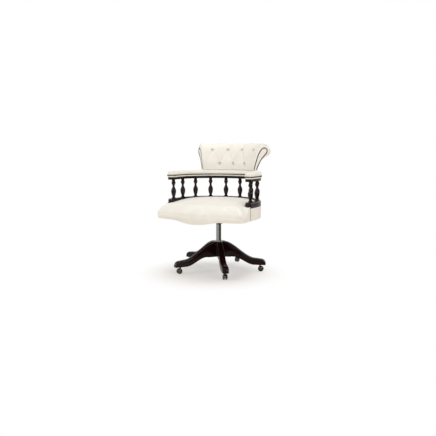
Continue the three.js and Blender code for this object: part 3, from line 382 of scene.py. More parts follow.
# %% [markdown]
# ## Turning numbers into skins
#
# Almost every piece of this chair is one of three kinds of skin. A sweep joins a row of rings,
# such as the sections of a leg. A stack joins the same outline at several heights, such as a
# moulded rail. A turning spins a profile about an axis, as a lathe does. Plain arrays of points
# keep them exact, and the UV map is measured on the same points.

# %% Skins from rings of points
MM = 0.001
SAME_PLACE = 0.001 * MM


def in_scene(name, data):
    made = bpy.data.objects.new(name, data)
    bpy.context.collection.objects.link(made)
    return made


def at_height(points, height):
    """Turns [x, y] points into [x, y, z] points at one height."""
    return np.column_stack([points, np.full(len(points), height)])


def skin(name, rings, sharp=40):
    rings = np.asarray(rings, float) * MM
    rows, columns = rings.shape[:2]
    i, j = np.meshgrid(np.arange(rows - 1), np.arange(columns), indexing="ij")
    k = (j + 1) % columns
    near, far = i * columns, (i + 1) * columns
    quads = np.stack([near + j, near + k, far + k, far + j], -1)
    faces = quads.reshape(-1, 4).tolist()
    steps = np.linalg.norm(np.diff(rings, axis=0), axis=2).mean(1)
    along = np.concatenate([[0], np.cumsum(steps)])
    middle = rings[rows // 2]
    widths = np.linalg.norm(np.roll(middle, -1, 0) - middle, axis=1)
    around = np.concatenate([[0], np.cumsum(widths)])
    uv = np.stack([
        np.stack([along[i], around[j]], -1), np.stack([along[i], around[j + 1]], -1),
        np.stack([along[i + 1], around[j + 1]], -1), np.stack([along[i + 1], around[j]], -1),
    ], -2).reshape(-1, 2)
    faces += [list(range(columns))[::-1], list(range((rows - 1) * columns, rows * columns))]
    uv = np.vstack([uv, rings[0, ::-1, :2], rings[-1, :, :2]])
    mesh = bpy.data.meshes.new(name)
    mesh.from_pydata(rings.reshape(-1, 3).tolist(), [], faces)
    mesh.uv_layers.new(name="along_and_across").data.foreach_set("uv", uv.ravel())
    return as_object(name, mesh, sharp)


def as_object(name, mesh, sharp):
    mesh.validate()
    weld_and_face_out(mesh)
    mesh.shade_smooth()
    mesh.set_sharp_from_angle(angle=math.radians(sharp))
    return in_scene(name, mesh)


def weld_and_face_out(mesh):
    """Joins the points that meet and turns every face of a closed skin to point out of it."""
    work = bmesh.new()
    work.from_mesh(mesh)
    bmesh.ops.remove_doubles(work, verts=work.verts, dist=SAME_PLACE)
    bmesh.ops.recalc_face_normals(work, faces=work.faces)
    work.to_mesh(mesh)
    work.free()


def turning(name, profile, segments=40, sharp=40, flute=None):
    """Spins [radius, height] pairs about the upright axis; flute may vary the radius by angle."""
    profile = np.asarray(profile, float)
    angle = np.linspace(0, math.tau, segments, endpoint=False)
    radius = profile[:, :1] * np.ones(segments)
    if flute is not None:
        radius = radius * flute(angle, profile[:, :1])
    height = profile[:, 1:] * np.ones(segments)
    rings = np.stack([radius * np.cos(angle), radius * np.sin(angle), height], -1)
    return skin(name, rings, sharp)


# %% [markdown]
# Every piece is then dressed the same way: it gets its material, rides on its body, and hides the CAD
# nodes that it stands for.

# %% Dress a piece
def dress(piece, material, slot, body, *nodes):
    piece.data.materials.clear()
    piece.data.materials.append(material)
    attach(piece, body)
    if nodes:
        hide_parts(*nodes)


def keep(node, material, edge=0.0):
    """A CAD node that stays in view, with its finish and, where it helps, softened edges."""
    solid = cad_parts[node]
    solid.data.materials.clear()
    solid.data.materials.append(material)
    if edge:
        rounding = solid.modifiers.new("softened_edges", "BEVEL")
        rounding.width = edge * MM
        rounding.segments = 2
        rounding.limit_method = "ANGLE"
        rounding.angle_limit = math.radians(40)


def levels(node):
    """The lowest and highest height of a CAD node, in millimetres."""
    low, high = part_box(node)
    return low.z / MM, high.z / MM


# %% [markdown]
# ## The plan of the gallery
#
# Seen from above, the arms and the back follow one horseshoe: two straight arms joined by half
# an ellipse. Rails, arm pad, nail rows and side leather are all strips beside that line, so one
# function gives the outline of a strip between two offsets, with rounded corners at the ends.

# %% Horseshoe outlines
ARM_X = 297.3
BEND_DEPTH = 279.5
BEND_Y = -51
ARM_LENGTH = 112.5
ARM_FRONT_Y = BEND_Y - ARM_LENGTH
RAIL_HALF_WIDTH = 21
RAIL_CORNER = 10
LEAST_CORNER = 0.4
BEND_STEPS = 72
CORNER_STEPS = 6
ARM_STEPS = 6


def arc(x, y, radius_x, radius_y, start, end, steps):
    angle = np.radians(np.linspace(start, end, steps + 1))
    return np.column_stack([x + radius_x * np.cos(angle), y + radius_y * np.sin(angle)])


def straight(x, start, end):
    """Points along one arm, without its two ends."""
    y = np.linspace(start, end, ARM_STEPS + 1)[1:-1]
    return np.column_stack([np.full(len(y), x), y])


def horseshoe(outer, inner, front_y, corner):
    corner = max(corner, LEAST_CORNER)
    outside, inside = ARM_X + outer - corner, ARM_X + inner + corner
    start_y = front_y + corner
    return np.vstack([
        arc(inside, start_y, corner, corner, 180, 270, CORNER_STEPS),
        arc(outside, start_y, corner, corner, 270, 360, CORNER_STEPS),
        straight(ARM_X + outer, start_y, BEND_Y),
        arc(0, BEND_Y, ARM_X + outer, BEND_DEPTH + outer, 0, 180, BEND_STEPS),
        straight(-ARM_X - outer, BEND_Y, start_y),
        arc(-outside, start_y, corner, corner, 180, 270, CORNER_STEPS),
        arc(-inside, start_y, corner, corner, 270, 360, CORNER_STEPS),
        straight(-ARM_X - inner, start_y, BEND_Y),
        arc(0, BEND_Y, ARM_X + inner, BEND_DEPTH + inner, 180, 0, BEND_STEPS),
        straight(ARM_X + inner, BEND_Y, start_y),
    ])


def strip(inset):
    """The outline of the rails' own strip, drawn in by an inset, or out by a negative one."""
    half = RAIL_HALF_WIDTH - inset
    corner = min(max(RAIL_CORNER - inset, 3), half * 0.9)
    return horseshoe(half, -half, ARM_FRONT_Y + inset, corner)


# %% [markdown]
# ## The two rails
#
# Both rails are mahogany, cut to the horseshoe and moulded all round. The lower one has a plain
# plinth, a narrow quirk and a rounded upper edge. The upper one is thin, with a quirk between
# two small rounds, and it is the quirk that draws a fine bright line in the polish.

# %% Moulded rails
QUARTER_POINTS = 7


def quarter_round(inset, height, radius_in, radius_up):
    """A convex quarter from a point on the side up to the top."""
    angle = np.linspace(0, math.pi / 2, QUARTER_POINTS)
    return [(inset + radius_in * (1 - math.cos(a)), height + radius_up * math.sin(a)) for a in angle]


def moulded_rail(name, profile, bottom):
    rings = [at_height(strip(inset), bottom + height) for inset, height in profile]
    return skin(name, rings, sharp=32)


low, high = levels("lower_rail")
tall = high - low
ROUND_START = 24
lower_profile = [
    (0.6, 0), (0.2, 0.6), (0, 1.6), (0, 12), (0.5, 13), (1.8, 13.4), (1.8, 15), (0.6, 15.4),
    *quarter_round(0.4, ROUND_START, 8.5, tall - ROUND_START),
]
lower_rail = moulded_rail("lower_rail_moulding", lower_profile, low)
dress(lower_rail, polished, "mahogany", "seat", "lower_rail")

low, high = levels("upper_rail")
upper_profile = [
    (4, 0), (1.6, 0.5), (0.5, 2), (0.2, 4), (0.5, 6), (2.2, 6.8), (2.2, 8.2), (0.6, 9),
    (0, 11), (0, 13.5), (0.8, 16), (2.6, 17.6), (5, high - low),
]
upper_rail = moulded_rail("upper_rail_moulding", upper_profile, low)
dress(upper_rail, polished, "mahogany", "seat", "upper_rail")
print(f"lower rail {tall:.1f} mm tall, upper rail {high - low:.1f} mm")

# %% [markdown]
# ## Turned spindles
#
# A turner works each spindle between centres with a gouge: a flat disc at the foot, a small
# bead, a full vase that tapers to a thin collar, and a ball under the top ring. All ten are
# alike, so they share one mesh, which is spun once and set on each place.

# %% Ten spindles from one turning
def smooth_profile(points, steps=4):
    """A smooth curve through pairs of numbers: each stretch leaves along its neighbours' line."""
    points = np.asarray(points, float)
    before = np.vstack([points[:1], points[:-1]])
    after = np.vstack([points[1:], points[-1:]])
    tangent = (after - before) / 2
    curve = []
    for a, b, ta, tb in zip(points[:-1], points[1:], tangent[:-1], tangent[1:]):
        for t in np.linspace(0, 1, steps, endpoint=False):
            curve.append(
                (2 * t**3 - 3 * t**2 + 1) * a + (t**3 - 2 * t**2 + t) * ta
                + (3 * t**2 - 2 * t**3) * b + (t**3 - t**2) * tb
            )
    return np.array([*curve, points[-1]])


foot, head = levels("spindle_1")
length = head - foot
vase = smooth_profile([
    (9.6, 9.0), (10.0, 12.5), (12.0, 19.0), (14.8, 29.0), (16.8, 40.0), (17.6, 50.0), (16.6, 59.0),
    (13.0, 68.0), (9.2, 77.0), (7.2, 84.0),
])
ball = smooth_profile([
    (7.6, 90.0), (9.8, 94.5), (13.0, 101.5), (14.4, 108.5), (13.4, 114.5), (10.4, 119.0),
])
profile = np.vstack([
    [(0, 0), (13.2, 0), (14.2, 0.6), (14.6, 2.0), (14.3, 4.0), (12.6, 5.2), (10.0, 5.8), (9.4, 6.6),
     (10.4, 7.6)],
    vase,
    [(7.8, 84.8), (8.9, 85.8), (9.0, 87.2), (8.0, 88.4)],
    ball,
    [(10.0, 119.8), (11.4, 120.6), (12.0, 122.2), (11.5, 123.8), (10.3, 124.6), (10.6, 125.6),
     (11.6, 126.4), (11.7, length - 1), (11.0, length), (0, length)],
])
pattern = turning("spindle_pattern", profile, 36, 50)
for number in range(1, 11):
    corner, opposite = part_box(f"spindle_{number}")
    middle = (corner + opposite) / 2
    spindle = in_scene(f"turned_spindle_{number}", pattern.data)
    spindle.location = (middle.x, middle.y, corner.z)
    dress(spindle, polished, "mahogany", "seat", f"spindle_{number}")
bpy.data.objects.remove(pattern)
print(f"spindles {length:.1f} mm tall, {2 * profile[:, 0].max():.1f} mm at the vase")

# %% [markdown]
# ## The base
#
# Each leg is one board, sawn to an ogee: its top sweeps down from the hub and levels out over
# the castor, and its underside is hollowed. The upper edges are rounded over and a fine bead is
# scratched below them, which catches the light along the whole leg. Rings every few millimetres
# follow that curve, closest together round the toe.

# %% Legs
LEG_REACH = 333.0
LEG_ROOT = 34.3
TOE_HEIGHT = 46
TOE_FALL = 4.5
HALF_WIDTHS = (19, 22)
LEVEL_FROM = 0.765
FALL_SPAN = 0.125
TIP_FROM, TIP_SPAN = 0.89, 0.11
TIP_DROP = 0.72
ARCH_SPAN = (0.237, 0.736)
NARROW_FROM, NARROW_SPAN = 0.955, 0.045
TIP_NARROWING = 0.2
UPPER_EDGE = 7.0
BOARD_CROWN = 0.8

toe_bottom, hub_top = levels("leg_3")
hub_bottom, _ = levels("hub")
LEG_LENGTH = LEG_REACH - LEG_ROOT


def smoothstep(value, start, end):
    t = np.clip((value - start) / (end - start), 0, 1)
    return t * t * (3 - 2 * t)


def quarter_fall(share, start, span):
    """How far a quarter circle has fallen at a share of the leg, from 0 up to 1."""
    turned = np.clip((share - start) / span, 0, 1)
    return 1 - math.sqrt(max(1 - turned * turned, 0))


def leg_section(share):
    """The leg's outline at a share of its length: the right side, and the same mirrored."""
    top = hub_top + (toe_bottom + TOE_HEIGHT - hub_top) * smoothstep(share, 0, LEVEL_FROM)
    fall = np.clip((share - LEVEL_FROM) / FALL_SPAN, 0, 1) * TOE_FALL
    top -= fall + TIP_DROP * TOE_HEIGHT * quarter_fall(share, TIP_FROM, TIP_SPAN)
    bottom = hub_bottom + (toe_bottom - hub_bottom) * smoothstep(share, *ARCH_SPAN)
    half = HALF_WIDTHS[0] + (HALF_WIDTHS[1] - HALF_WIDTHS[0]) * share
    half *= 1 - TIP_NARROWING * quarter_fall(share, NARROW_FROM, NARROW_SPAN)
    edge = min(UPPER_EDGE, (top - bottom) / 3)
    brow = top - BOARD_CROWN
    side = [(half - 2, bottom), (half - 0.6, bottom + 0.6), (half, bottom + 2)]
    side += [(half, brow - edge - 5), (half - 0.9, brow - edge - 4.2)]
    side += [(half - 0.9, brow - edge - 2.8), (half - 0.1, brow - edge - 2)]
    for angle in np.linspace(0, math.pi / 2, 6):
        side.append((half - edge * (1 - math.cos(angle)), brow - edge * (1 - math.sin(angle))))
    side.append((half * 0.35, top))
    mirrored = [(-y, z) for y, z in side[::-1]]
    return [(LEG_ROOT + share * LEG_LENGTH, y, z) for y, z in side + mirrored]


def leg_turn(number):
    """The heading of a leg and its castor: the five stand 72 degrees apart."""
    return math.radians(72 * (number - 0.5) - 90)


toe_shares = TIP_FROM + TIP_SPAN * np.sin(np.linspace(0, math.pi / 2, 12))
shares = np.concatenate([np.linspace(0, 0.88, 40), toe_shares])
leg_mesh = skin("leg_pattern", [leg_section(share) for share in shares], sharp=38)
for number in range(1, 6):
    leg = in_scene(f"ogee_leg_{number}", leg_mesh.data)
    leg.rotation_euler.z = leg_turn(number)
    dress(leg, polished, "mahogany", "base", f"leg_{number}")
bpy.data.objects.remove(leg_mesh)
keep("hub", polished_upright, 1.0)
keep("hub_tie_plate", enamel, 0.5)
print(f"legs {LEG_LENGTH:.0f} mm long, toe {toe_bottom:.1f} mm above the floor")

# %% [markdown]
# ## Castors
#
# Each castor looks like a small ball: two domed wheels hide a central hood, and a collar carries
# its stem into the toe. Wheels and hood are cast zinc, tumbled smooth and browned. The wheels
# roll and the hood swivels, so they are separate pieces on separate bodies.

# %% Castor wheels and hoods
CASTOR_RADIUS = 300.0
STEM_RADIUS_PLACE = 294.0
HOOD_HALF = 3.6
HOOD_TRAIL = 6
HOOD_RIM = 1.4
WHEEL_INNER = 4.3
WHEEL_OUTER = 17.4

_, wheel_top = levels("castor_3_wheels")
wheel = wheel_top / 2


def wheel_profile(side):
    shoulder = WHEEL_INNER + 4.0
    dome = [
        (wheel * math.cos(a) ** 0.9, shoulder + (WHEEL_OUTER - shoulder) * math.sin(a))
        for a in np.linspace(0.12, math.pi / 2, 12)
    ]
    rim = [(0, WHEEL_INNER), (wheel - 1.2, WHEEL_INNER), (wheel - 0.3, WHEEL_INNER + 0.4)]
    rim += [(wheel, WHEEL_INNER + 1.2), (wheel, WHEEL_INNER + 3.2), (wheel - 0.35, WHEEL_INNER + 3.6)]
    return [(radius, side * across) for radius, across in rim + dome]


def joined(name, pieces):
    """One mesh from several, each already in place."""
    bpy.ops.object.select_all(action="DESELECT")
    for piece in pieces:
        piece.select_set(True)
    bpy.context.view_layer.objects.active = pieces[0]
    bpy.ops.object.join()
    pieces[0].name = name
    pieces[0].data.name = name
    return pieces[0]


def rotation_x(degrees):
    return Matrix.Rotation(math.radians(degrees), 4, "X")


def castor_wheels(name):
    halves = [turning(f"{name}_half", wheel_profile(side), 48, 30) for side in (1, -1)]
    axle = turning(f"{name}_axle", [(0, -5), (3, -5), (3, 5), (0, 5)], 20)
    pair = joined(name, [*halves, axle])
    pair.data.transform(rotation_x(90))
    return pair


def castor_hood(name):
    rim = wheel + HOOD_RIM
    outline = np.vstack([
        arc(HOOD_TRAIL, wheel, rim, rim, -10, 190, 28),
        arc(HOOD_TRAIL, wheel, 7, 7, 200, 340, 8),
    ])
    rings = []
    edge = [(1.2, HOOD_HALF), (0.3, HOOD_HALF - 0.8), (0, 2)]
    for inset, across in [(inset, -across) for inset, across in edge] + edge[::-1]:
        centre = np.array([HOOD_TRAIL, wheel])
        arm = outline - centre
        size = np.linalg.norm(arm, axis=1, keepdims=True)
        drawn = centre + arm * (size - inset) / size
        rings.append(np.column_stack([drawn[:, 0], np.full(len(drawn), across), drawn[:, 1]]))
    fin = skin(f"{name}_fin", rings, sharp=35)
    neck = turning(f"{name}_neck", [
        (0, 2 * wheel - 3), (5.2, 2 * wheel - 3), (6.2, 2 * wheel + 1), (5.4, 2 * wheel + 3.2),
        (5.4, 2 * wheel + 4.2), (6.9, 2 * wheel + 5.4), (7, toe_bottom - 1), (6.6, toe_bottom - 0.3),
        (5, toe_bottom - 0.3), (5, toe_bottom + 20), (0, toe_bottom + 20),
    ], 32, 30)
    return joined(name, [fin, neck])


for number in range(1, 6):
    turn = leg_turn(number)
    heading = Vector((math.cos(turn), math.sin(turn), 0))
    hood = castor_hood(f"castor_hood_{number}")
    hood.location = heading * STEM_RADIUS_PLACE * MM
    hood.rotation_euler.z = turn
    dress(hood, pewter, "castor_metal", f"castor_{number}", f"castor_{number}_body")
    pair = castor_wheels(f"castor_domes_{number}")
    pair.location = heading * CASTOR_RADIUS * MM + Vector((0, 0, wheel * MM))
    pair.rotation_euler.z = turn
    dress(pair, pewter, "castor_metal", f"castor_{number}_wheel_pair", f"castor_{number}_wheels")
print(f"castor wheels {2 * wheel:.1f} mm across")

# %% [markdown]
# ## Column and lift
#
# The column is a steel tube that the hub grips. A nylon bush lines its mouth and the ground rod
# of the lift slides in the bush. All are true turnings, so each is spun from the CAD's own radii.

# %% Column, bush, rod and foot
TUBE_RADIUS = 17.85
TUBE_BORE = 16.0
ROD_RADIUS = 14.0

low, high = levels("column_tube")
tube = turning("column_tube_drawn", [
    (TUBE_BORE, low), (TUBE_RADIUS, low), (TUBE_RADIUS, high - 0.8), (TUBE_RADIUS - 0.6, high),
    (TUBE_BORE + 0.3, high), (TUBE_BORE, high - 0.3),
], 64, 30)
dress(tube, chrome, "chrome", "base", "column_tube")

low, high = levels("column_bush")
flange = high - 4
bush = turning("column_bush_moulded", [
    (ROD_RADIUS + 0.5, low), (TUBE_BORE - 0.3, low), (TUBE_BORE - 0.3, flange),
    (TUBE_RADIUS - 0.1, flange), (TUBE_RADIUS - 0.1, high - 1.2), (TUBE_RADIUS - 1.2, high),
    (ROD_RADIUS + 1.2, high), (ROD_RADIUS + 0.5, high - 0.8),
], 64, 30)
dress(bush, nylon, "nylon", "base", "column_bush")

low, high = levels("lift_rod")
shoulder = levels("tilt_housing")[0] - 0.5
lift_rod = turning("lift_rod_ground", [
    (0, low), (ROD_RADIUS - 0.6, low), (ROD_RADIUS, low + 0.6), (ROD_RADIUS, shoulder),
    (ROD_RADIUS - 1, shoulder + 0.5), (ROD_RADIUS - 1, high - 2.2), (4, high - 2.2), (4, high),
    (0, high),
], 56, 30)
dress(lift_rod, chrome, "chrome", "lift", "lift_rod")
keep("column_foot", enamel)

# %% [markdown]
# ## The mechanism under the seat
#
# Nobody looks here first, but a buyer who tips the chair over does. The tray and the seat plate
# are pressings and keep their CAD shape with softened edges. The spring, the knob and the lever
# are drawn afresh, because a faceted coil or handle would give them away.

# %% Tray, plate and pin
keep("tilt_housing", enamel, 0.7)
keep("seat_plate", enamel, 0.7)
keep("tilt_pivot_pin", bare_steel, 0.5)

# %% Tilt spring
PIVOT_Y = -40.0
SPRING_TURNS = 5
COIL_RADIUS = 7.5
WIRE = 2.0

low, high = levels("tilt_pivot_pin")
pivot_z = (low + high) / 2
spring_low, spring_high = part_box("tilt_spring")
half_coil = (spring_high.x - spring_low.x) / 2 / MM - WIRE
turn = np.linspace(0, SPRING_TURNS * math.tau, SPRING_TURNS * 32 + 1)
centre_line = np.column_stack([
    np.linspace(-half_coil, half_coil, len(turn)),
    PIVOT_Y + COIL_RADIUS * np.cos(turn), pivot_z + COIL_RADIUS * np.sin(turn),
])


def wire_along(name, line, radius, sides=10):
    """A round wire or cord along a line of points."""
    line = np.asarray(line, float)
    along = np.gradient(line, axis=0)
    along /= np.linalg.norm(along, axis=1, keepdims=True)
    side = np.cross(along[0], [0.31, 0.17, 0.93])
    rings = []
    for point, direction in zip(line, along):
        side = side - direction * np.dot(side, direction)
        side /= np.linalg.norm(side)
        up = np.cross(direction, side)
        angle = np.linspace(0, math.tau, sides, endpoint=False)[:, None]
        rings.append(point + radius * (np.cos(angle) * side + np.sin(angle) * up))
    return skin(name, rings, sharp=60)


spring = wire_along("tilt_spring_coil", centre_line, WIRE * 0.95)
dress(spring, bare_steel, "spring_steel", "swivel", "tilt_spring")

# %% Tension knob and lift lever
corner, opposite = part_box("tension_knob")
knob_z = (corner.z + opposite.z) / 2 / MM
front, back = corner.y / MM, opposite.y / MM
grip = 17.5
knob = turning("tension_knob_fluted", [
    (0, 0), (7.6, 0), (9.0, 0.7), (9.9, 2.2), (9.9, grip - 2), (8.8, grip - 0.4), (7, grip),
    (3.5, grip), (3.5, back - front), (0, back - front),
], 72, 30, lambda angle, radius: 1 - 0.05 * (radius > 8) * (0.5 + 0.5 * np.cos(12 * angle)))
knob.data.transform(rotation_x(-90))
knob.location = Vector((0, front * MM, knob_z * MM))
dress(knob, nylon, "nylon", "knob", "tension_knob")

corner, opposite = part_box("lift_lever")
lever_z = (corner.z + opposite.z) / 2 / MM
tip, tail = corner.x / MM, opposite.x / MM
sections = []
nose_places = [0, 0.4, 1.5, 4, 8, 14]
paddle_places = [*np.linspace(22, 40, 4), *np.linspace(46, 60, 5)]
for place in [*nose_places, *paddle_places, tail - tip]:
    paddle = 1 - smoothstep(place, 40, 58)
    nose = math.sqrt(max(0.02, 1 - (1 - min(place / 11, 1)) ** 2))
    wide = (4 + 7 * paddle) * nose
    thick = (3.8 - 0.4 * paddle) * min(1, 0.35 + nose)
    angle = np.linspace(0, math.tau, 24, endpoint=False)
    power = 1 - 0.35 * paddle
    y = wide * np.sign(np.cos(angle)) * np.abs(np.cos(angle)) ** power
    z = thick * np.sign(np.sin(angle)) * np.abs(np.sin(angle)) ** power
    sections.append(np.column_stack([np.full(24, tip + place), y, lever_z + z]))
lever = skin("lift_lever_handle", sections, sharp=45)
dress(lever, enamel, "black_steel", "lever", "lift_lever")

# %% [markdown]
# ## Hidden woodwork, straps and lining
#
# The beech frames, the jute straps and the lining stay as the CAD has them. Only their finish is
# added.

# %% Frames, straps and lining
keep("seat_frame", beech)
keep("back_frame", beech)
keep("seat_webbing", jute)
keep("dust_cover", lining)

# %% [markdown]
# ## The stuffed seat
#
# A stuffed seat is a domed block of horsehair or foam with one hide pulled over it. It swells
# most where nothing holds it and is drawn in along the hem and round the gallery. It is made in
# three moves: a smooth domed block in the right outline, a cloth simulation that puffs the skin
# as stuffing does, and exact cuts where the frame and the rail stand.

# %% The seat's outline and dome
SEAT_HALF_WIDTH = 318
SEAT_FRONT = 337
SEAT_BOW = 47
BOW_POWER = 1.6
SEAT_CORNER = 26
APRON_DIP = 21
APRON_DIP_SPAN = (25, 185)
APRON_WALL = 45
CROWN_CENTRE_Y = -60
CROWN_FALL = 24
CROWN_FALL_SPAN = (-80, 300)
SEAM_BLEND = 70
SEAM_LIFT = 76
HEM_SPARE = 12
FRONT_STEPS = 48

hem_z = levels("seat_border")[0]
frame_top = levels("seat_frame")[1]
crown_z = levels("seat_cushion")[1]
straps_top = levels("seat_webbing")[1]


def bow_y(x, inset):
    share = np.abs(x) / (SEAT_HALF_WIDTH - SEAT_CORNER / 2)
    return SEAT_BOW * share**BOW_POWER - SEAT_FRONT + inset


def seat_outline(front_inset, side_inset, back_offset):
    side = SEAT_HALF_WIDTH - side_inset
    lean = math.atan(BOW_POWER * SEAT_BOW / SEAT_HALF_WIDTH)
    bow_end = side - SEAT_CORNER * (1 - math.sin(lean))
    corner_y = bow_y(bow_end, front_inset) + SEAT_CORNER * math.cos(lean)
    x = np.linspace(-bow_end, bow_end, FRONT_STEPS + 1)[1:-1]
    bow = np.column_stack([x, bow_y(x, front_inset)])
    corner_x, turned_from = side - SEAT_CORNER, math.degrees(lean) - 90
    right = arc(corner_x, corner_y, SEAT_CORNER, SEAT_CORNER, turned_from, 0, 8)
    left = right[::-1] * [-1, 1]
    right_side = straight(side, corner_y, BEND_Y)
    left_side = straight(-side, BEND_Y, corner_y)
    back = arc(0, BEND_Y, side, BEND_DEPTH + back_offset, 0, 180, BEND_STEPS)
    return np.vstack([bow, right, right_side, back, left_side, left])


def hem_height(points):
    """The hem's height below a place: level, with a dip in the middle of the front."""
    level = smoothstep(np.abs(points[:, 0]), *APRON_DIP_SPAN)
    return hem_z - np.where(points[:, 1] < ARM_FRONT_Y, APRON_DIP * (1 - level), 0)


outline = seat_outline(0, 0, RAIL_HALF_WIDTH)
crown_curve = smooth_profile([
    (1.008, -1), (1.028, -0.55), (1.035, -0.12), (1.021, 0.12), (0.997, 0.32), (0.963, 0.53),
    (0.915, 0.74), (0.855, 0.885), (0.7, 0.975), (0.35, 1), (0.12, 1), (0.02, 1),
], 3)
centre = np.array([0, CROWN_CENTRE_Y])
low_rim = hem_height(outline)
ahead_of_rail = ARM_FRONT_Y - outline[:, 1]
rings = [np.column_stack([outline, low_rim - HEM_SPARE])]
for scale, rise in crown_curve:
    bulge = np.minimum(scale, 1) + max(scale - 1, 0) * smoothstep(ahead_of_rail, 0, SEAM_BLEND)
    plan = centre + (outline - centre) * bulge[:, None]
    rim = hem_z + APRON_WALL
    top = crown_z - CROWN_FALL * smoothstep(-plan[:, 1], *CROWN_FALL_SPAN)
    height = rim + rise * (top - rim) if rise > 0 else rim + rise * (rim - low_rim)
    lift = SEAM_LIFT * (1 - max(rise, 0)) ** 2 * np.clip(1 + rise, 0, 1)
    height = height + lift * (1 - smoothstep(ahead_of_rail, 0, SEAM_BLEND))
    rings.append(np.column_stack([plan, height]))
seat = skin("stuffed_seat", rings)
print(f"seat outline {len(outline)} points, crown at {crown_z:.1f} mm")

# %% [markdown]
# Cloth with a little pressure inside swells like a stuffed cover. The skin starts slightly
# smaller, is rebuilt as even squares so that it stretches alike everywhere, and no point may
# travel far, so the seat keeps its size. Points along the hem hardly move.

# %% Puff a stuffed piece
PRESSURE = 4.0
PUFF_FRAMES = 20


def settle(piece):
    """Replaces a piece's mesh by what its modifiers make of it."""
    bpy.context.view_layer.update()
    graph = bpy.context.evaluated_depsgraph_get()
    mesh = bpy.data.meshes.new_from_object(piece.evaluated_get(graph))
    piece.modifiers.clear()
    piece.data = mesh


def read_points(mesh, what="co"):
    flat = np.empty(len(mesh.vertices) * 3)
    mesh.vertices.foreach_get(what, flat)
    return flat.reshape(-1, 3)


def set_points(piece, points):
    piece.data.vertices.foreach_set("co", points.ravel())
    piece.data.update()


def even_squares(piece, size):
    remesh = piece.modifiers.new("even_squares", "REMESH")
    remesh.mode = "VOXEL"
    remesh.voxel_size = size * MM
    settle(piece)
    soften = piece.modifiers.new("soften", "SMOOTH")
    soften.factor = 0.5
    soften.iterations = 3
    settle(piece)


def puff(piece, freedom, start_inset, most):
    """freedom gives each point's share of movement, from 0, held, to 1, free."""
    start = read_points(piece.data)
    free = freedom(start / MM)
    begin = start - read_points(piece.data, "normal") * (start_inset * MM * free)[:, None]
    set_points(piece, begin)
    group = piece.vertex_groups.new(name="held")
    for index, share in enumerate(free):
        if share < 0.999:
            group.add([index], 1 - float(share), "REPLACE")
    cloth = piece.modifiers.new("puff", "CLOTH")
    cloth.settings.use_pressure = True
    cloth.settings.uniform_pressure_force = PRESSURE
    cloth.settings.effector_weights.gravity = 0
    cloth.settings.quality = 5
    cloth.settings.vertex_group_mass = group.name
    cloth.settings.pin_stiffness = 1.0
    cloth.collision_settings.use_collision = False
    scene = bpy.context.scene
    for step in range(1, PUFF_FRAMES + 1):
        scene.frame_set(step)
    graph = bpy.context.evaluated_depsgraph_get()
    swollen = read_points(piece.evaluated_get(graph).data)
    piece.modifiers.clear()
    piece.vertex_groups.clear()
    scene.frame_set(1)
    move = swollen - begin
    size = np.linalg.norm(move, axis=1, keepdims=True)
    limit = most * MM * free[:, None]
    move *= np.minimum(1, limit / np.maximum(size, 1e-9))
    set_points(piece, begin + move)
    print(f"{piece.name}: mean swell {1000 * size.mean():.1f} mm before the cap of {most} mm")


def soft_finish(piece):
    divide = piece.modifiers.new("smooth_skin", "SUBSURF")
    divide.levels = divide.render_levels = 1
    settle(piece)
    piece.data.shade_smooth()


def gallery_offset(points):
    """How far outside the gallery's line a place lies, in millimetres."""
    across, deep = np.abs(points[:, 0]), np.maximum(points[:, 1] - BEND_Y, 0)
    spread = np.hypot(across / ARM_X, deep / BEND_DEPTH)
    radius = np.hypot(across, deep)
    return radius - radius / np.maximum(spread, 1e-6)


def from_rail(points):
    """How far a place lies from the rail: inside the horseshoe, or ahead of its ends."""
    inside = -RAIL_HALF_WIDTH - gallery_offset(points)
    return np.maximum(inside, ARM_FRONT_Y - points[:, 1])


def seat_freedom(points):
    above_hem = smoothstep(points[:, 2] - hem_height(points), 2, 30)
    return above_hem * smoothstep(from_rail(points), -10, 24)


# %% Puff the seat
even_squares(seat, 6.0)
puff(seat, seat_freedom, 3, 6)
soft_finish(seat)
print("seat:", len(seat.data.vertices), "points")

# %% [markdown]
# Where the leather meets the rail it is pulled down and tacked, so the dome rolls in over its
# last centimetre. Then the seat is cut to its neighbours with exact booleans against four plain
# slabs: one where the frame lies under the seat, one under the rail, one where the rail stands,
# and one whose top follows the hem, which leaves a crisp turned edge there. The slabs are only
# tools and are deleted at once.

# %% Draw the leather in and cut the seat to its neighbours
ROLL_IN_REACH = 13
ROLL_IN_DROP = 6
CLEAR = 0.6
OUTSIDE = 60
FRAME_SETBACK = 30
FRAME_SIDE_SETBACK = 3.7
BORDER_SETBACK = 3
TOOL_BOTTOM = 340
TOOL_TOP = 530


def carve(piece, tools):
    for tool in tools:
        cut = piece.modifiers.new("cut", "BOOLEAN")
        cut.operation = "DIFFERENCE"
        cut.solver = "MANIFOLD"
        cut.object = tool
    settle(piece)
    for tool in tools:
        bpy.data.objects.remove(tool)


def slab(name, outline, bottom, top):
    return skin(name, [at_height(outline, bottom), at_height(outline, top)])


places = read_points(seat.data)
near_rail = np.clip(1 - from_rail(places / MM) / ROLL_IN_REACH, 0, 1) ** 2
on_top = smoothstep(places[:, 2] / MM, frame_top - 10, frame_top + 6)
places[:, 2] -= ROLL_IN_DROP * MM * near_rail * on_top
set_points(seat, places)

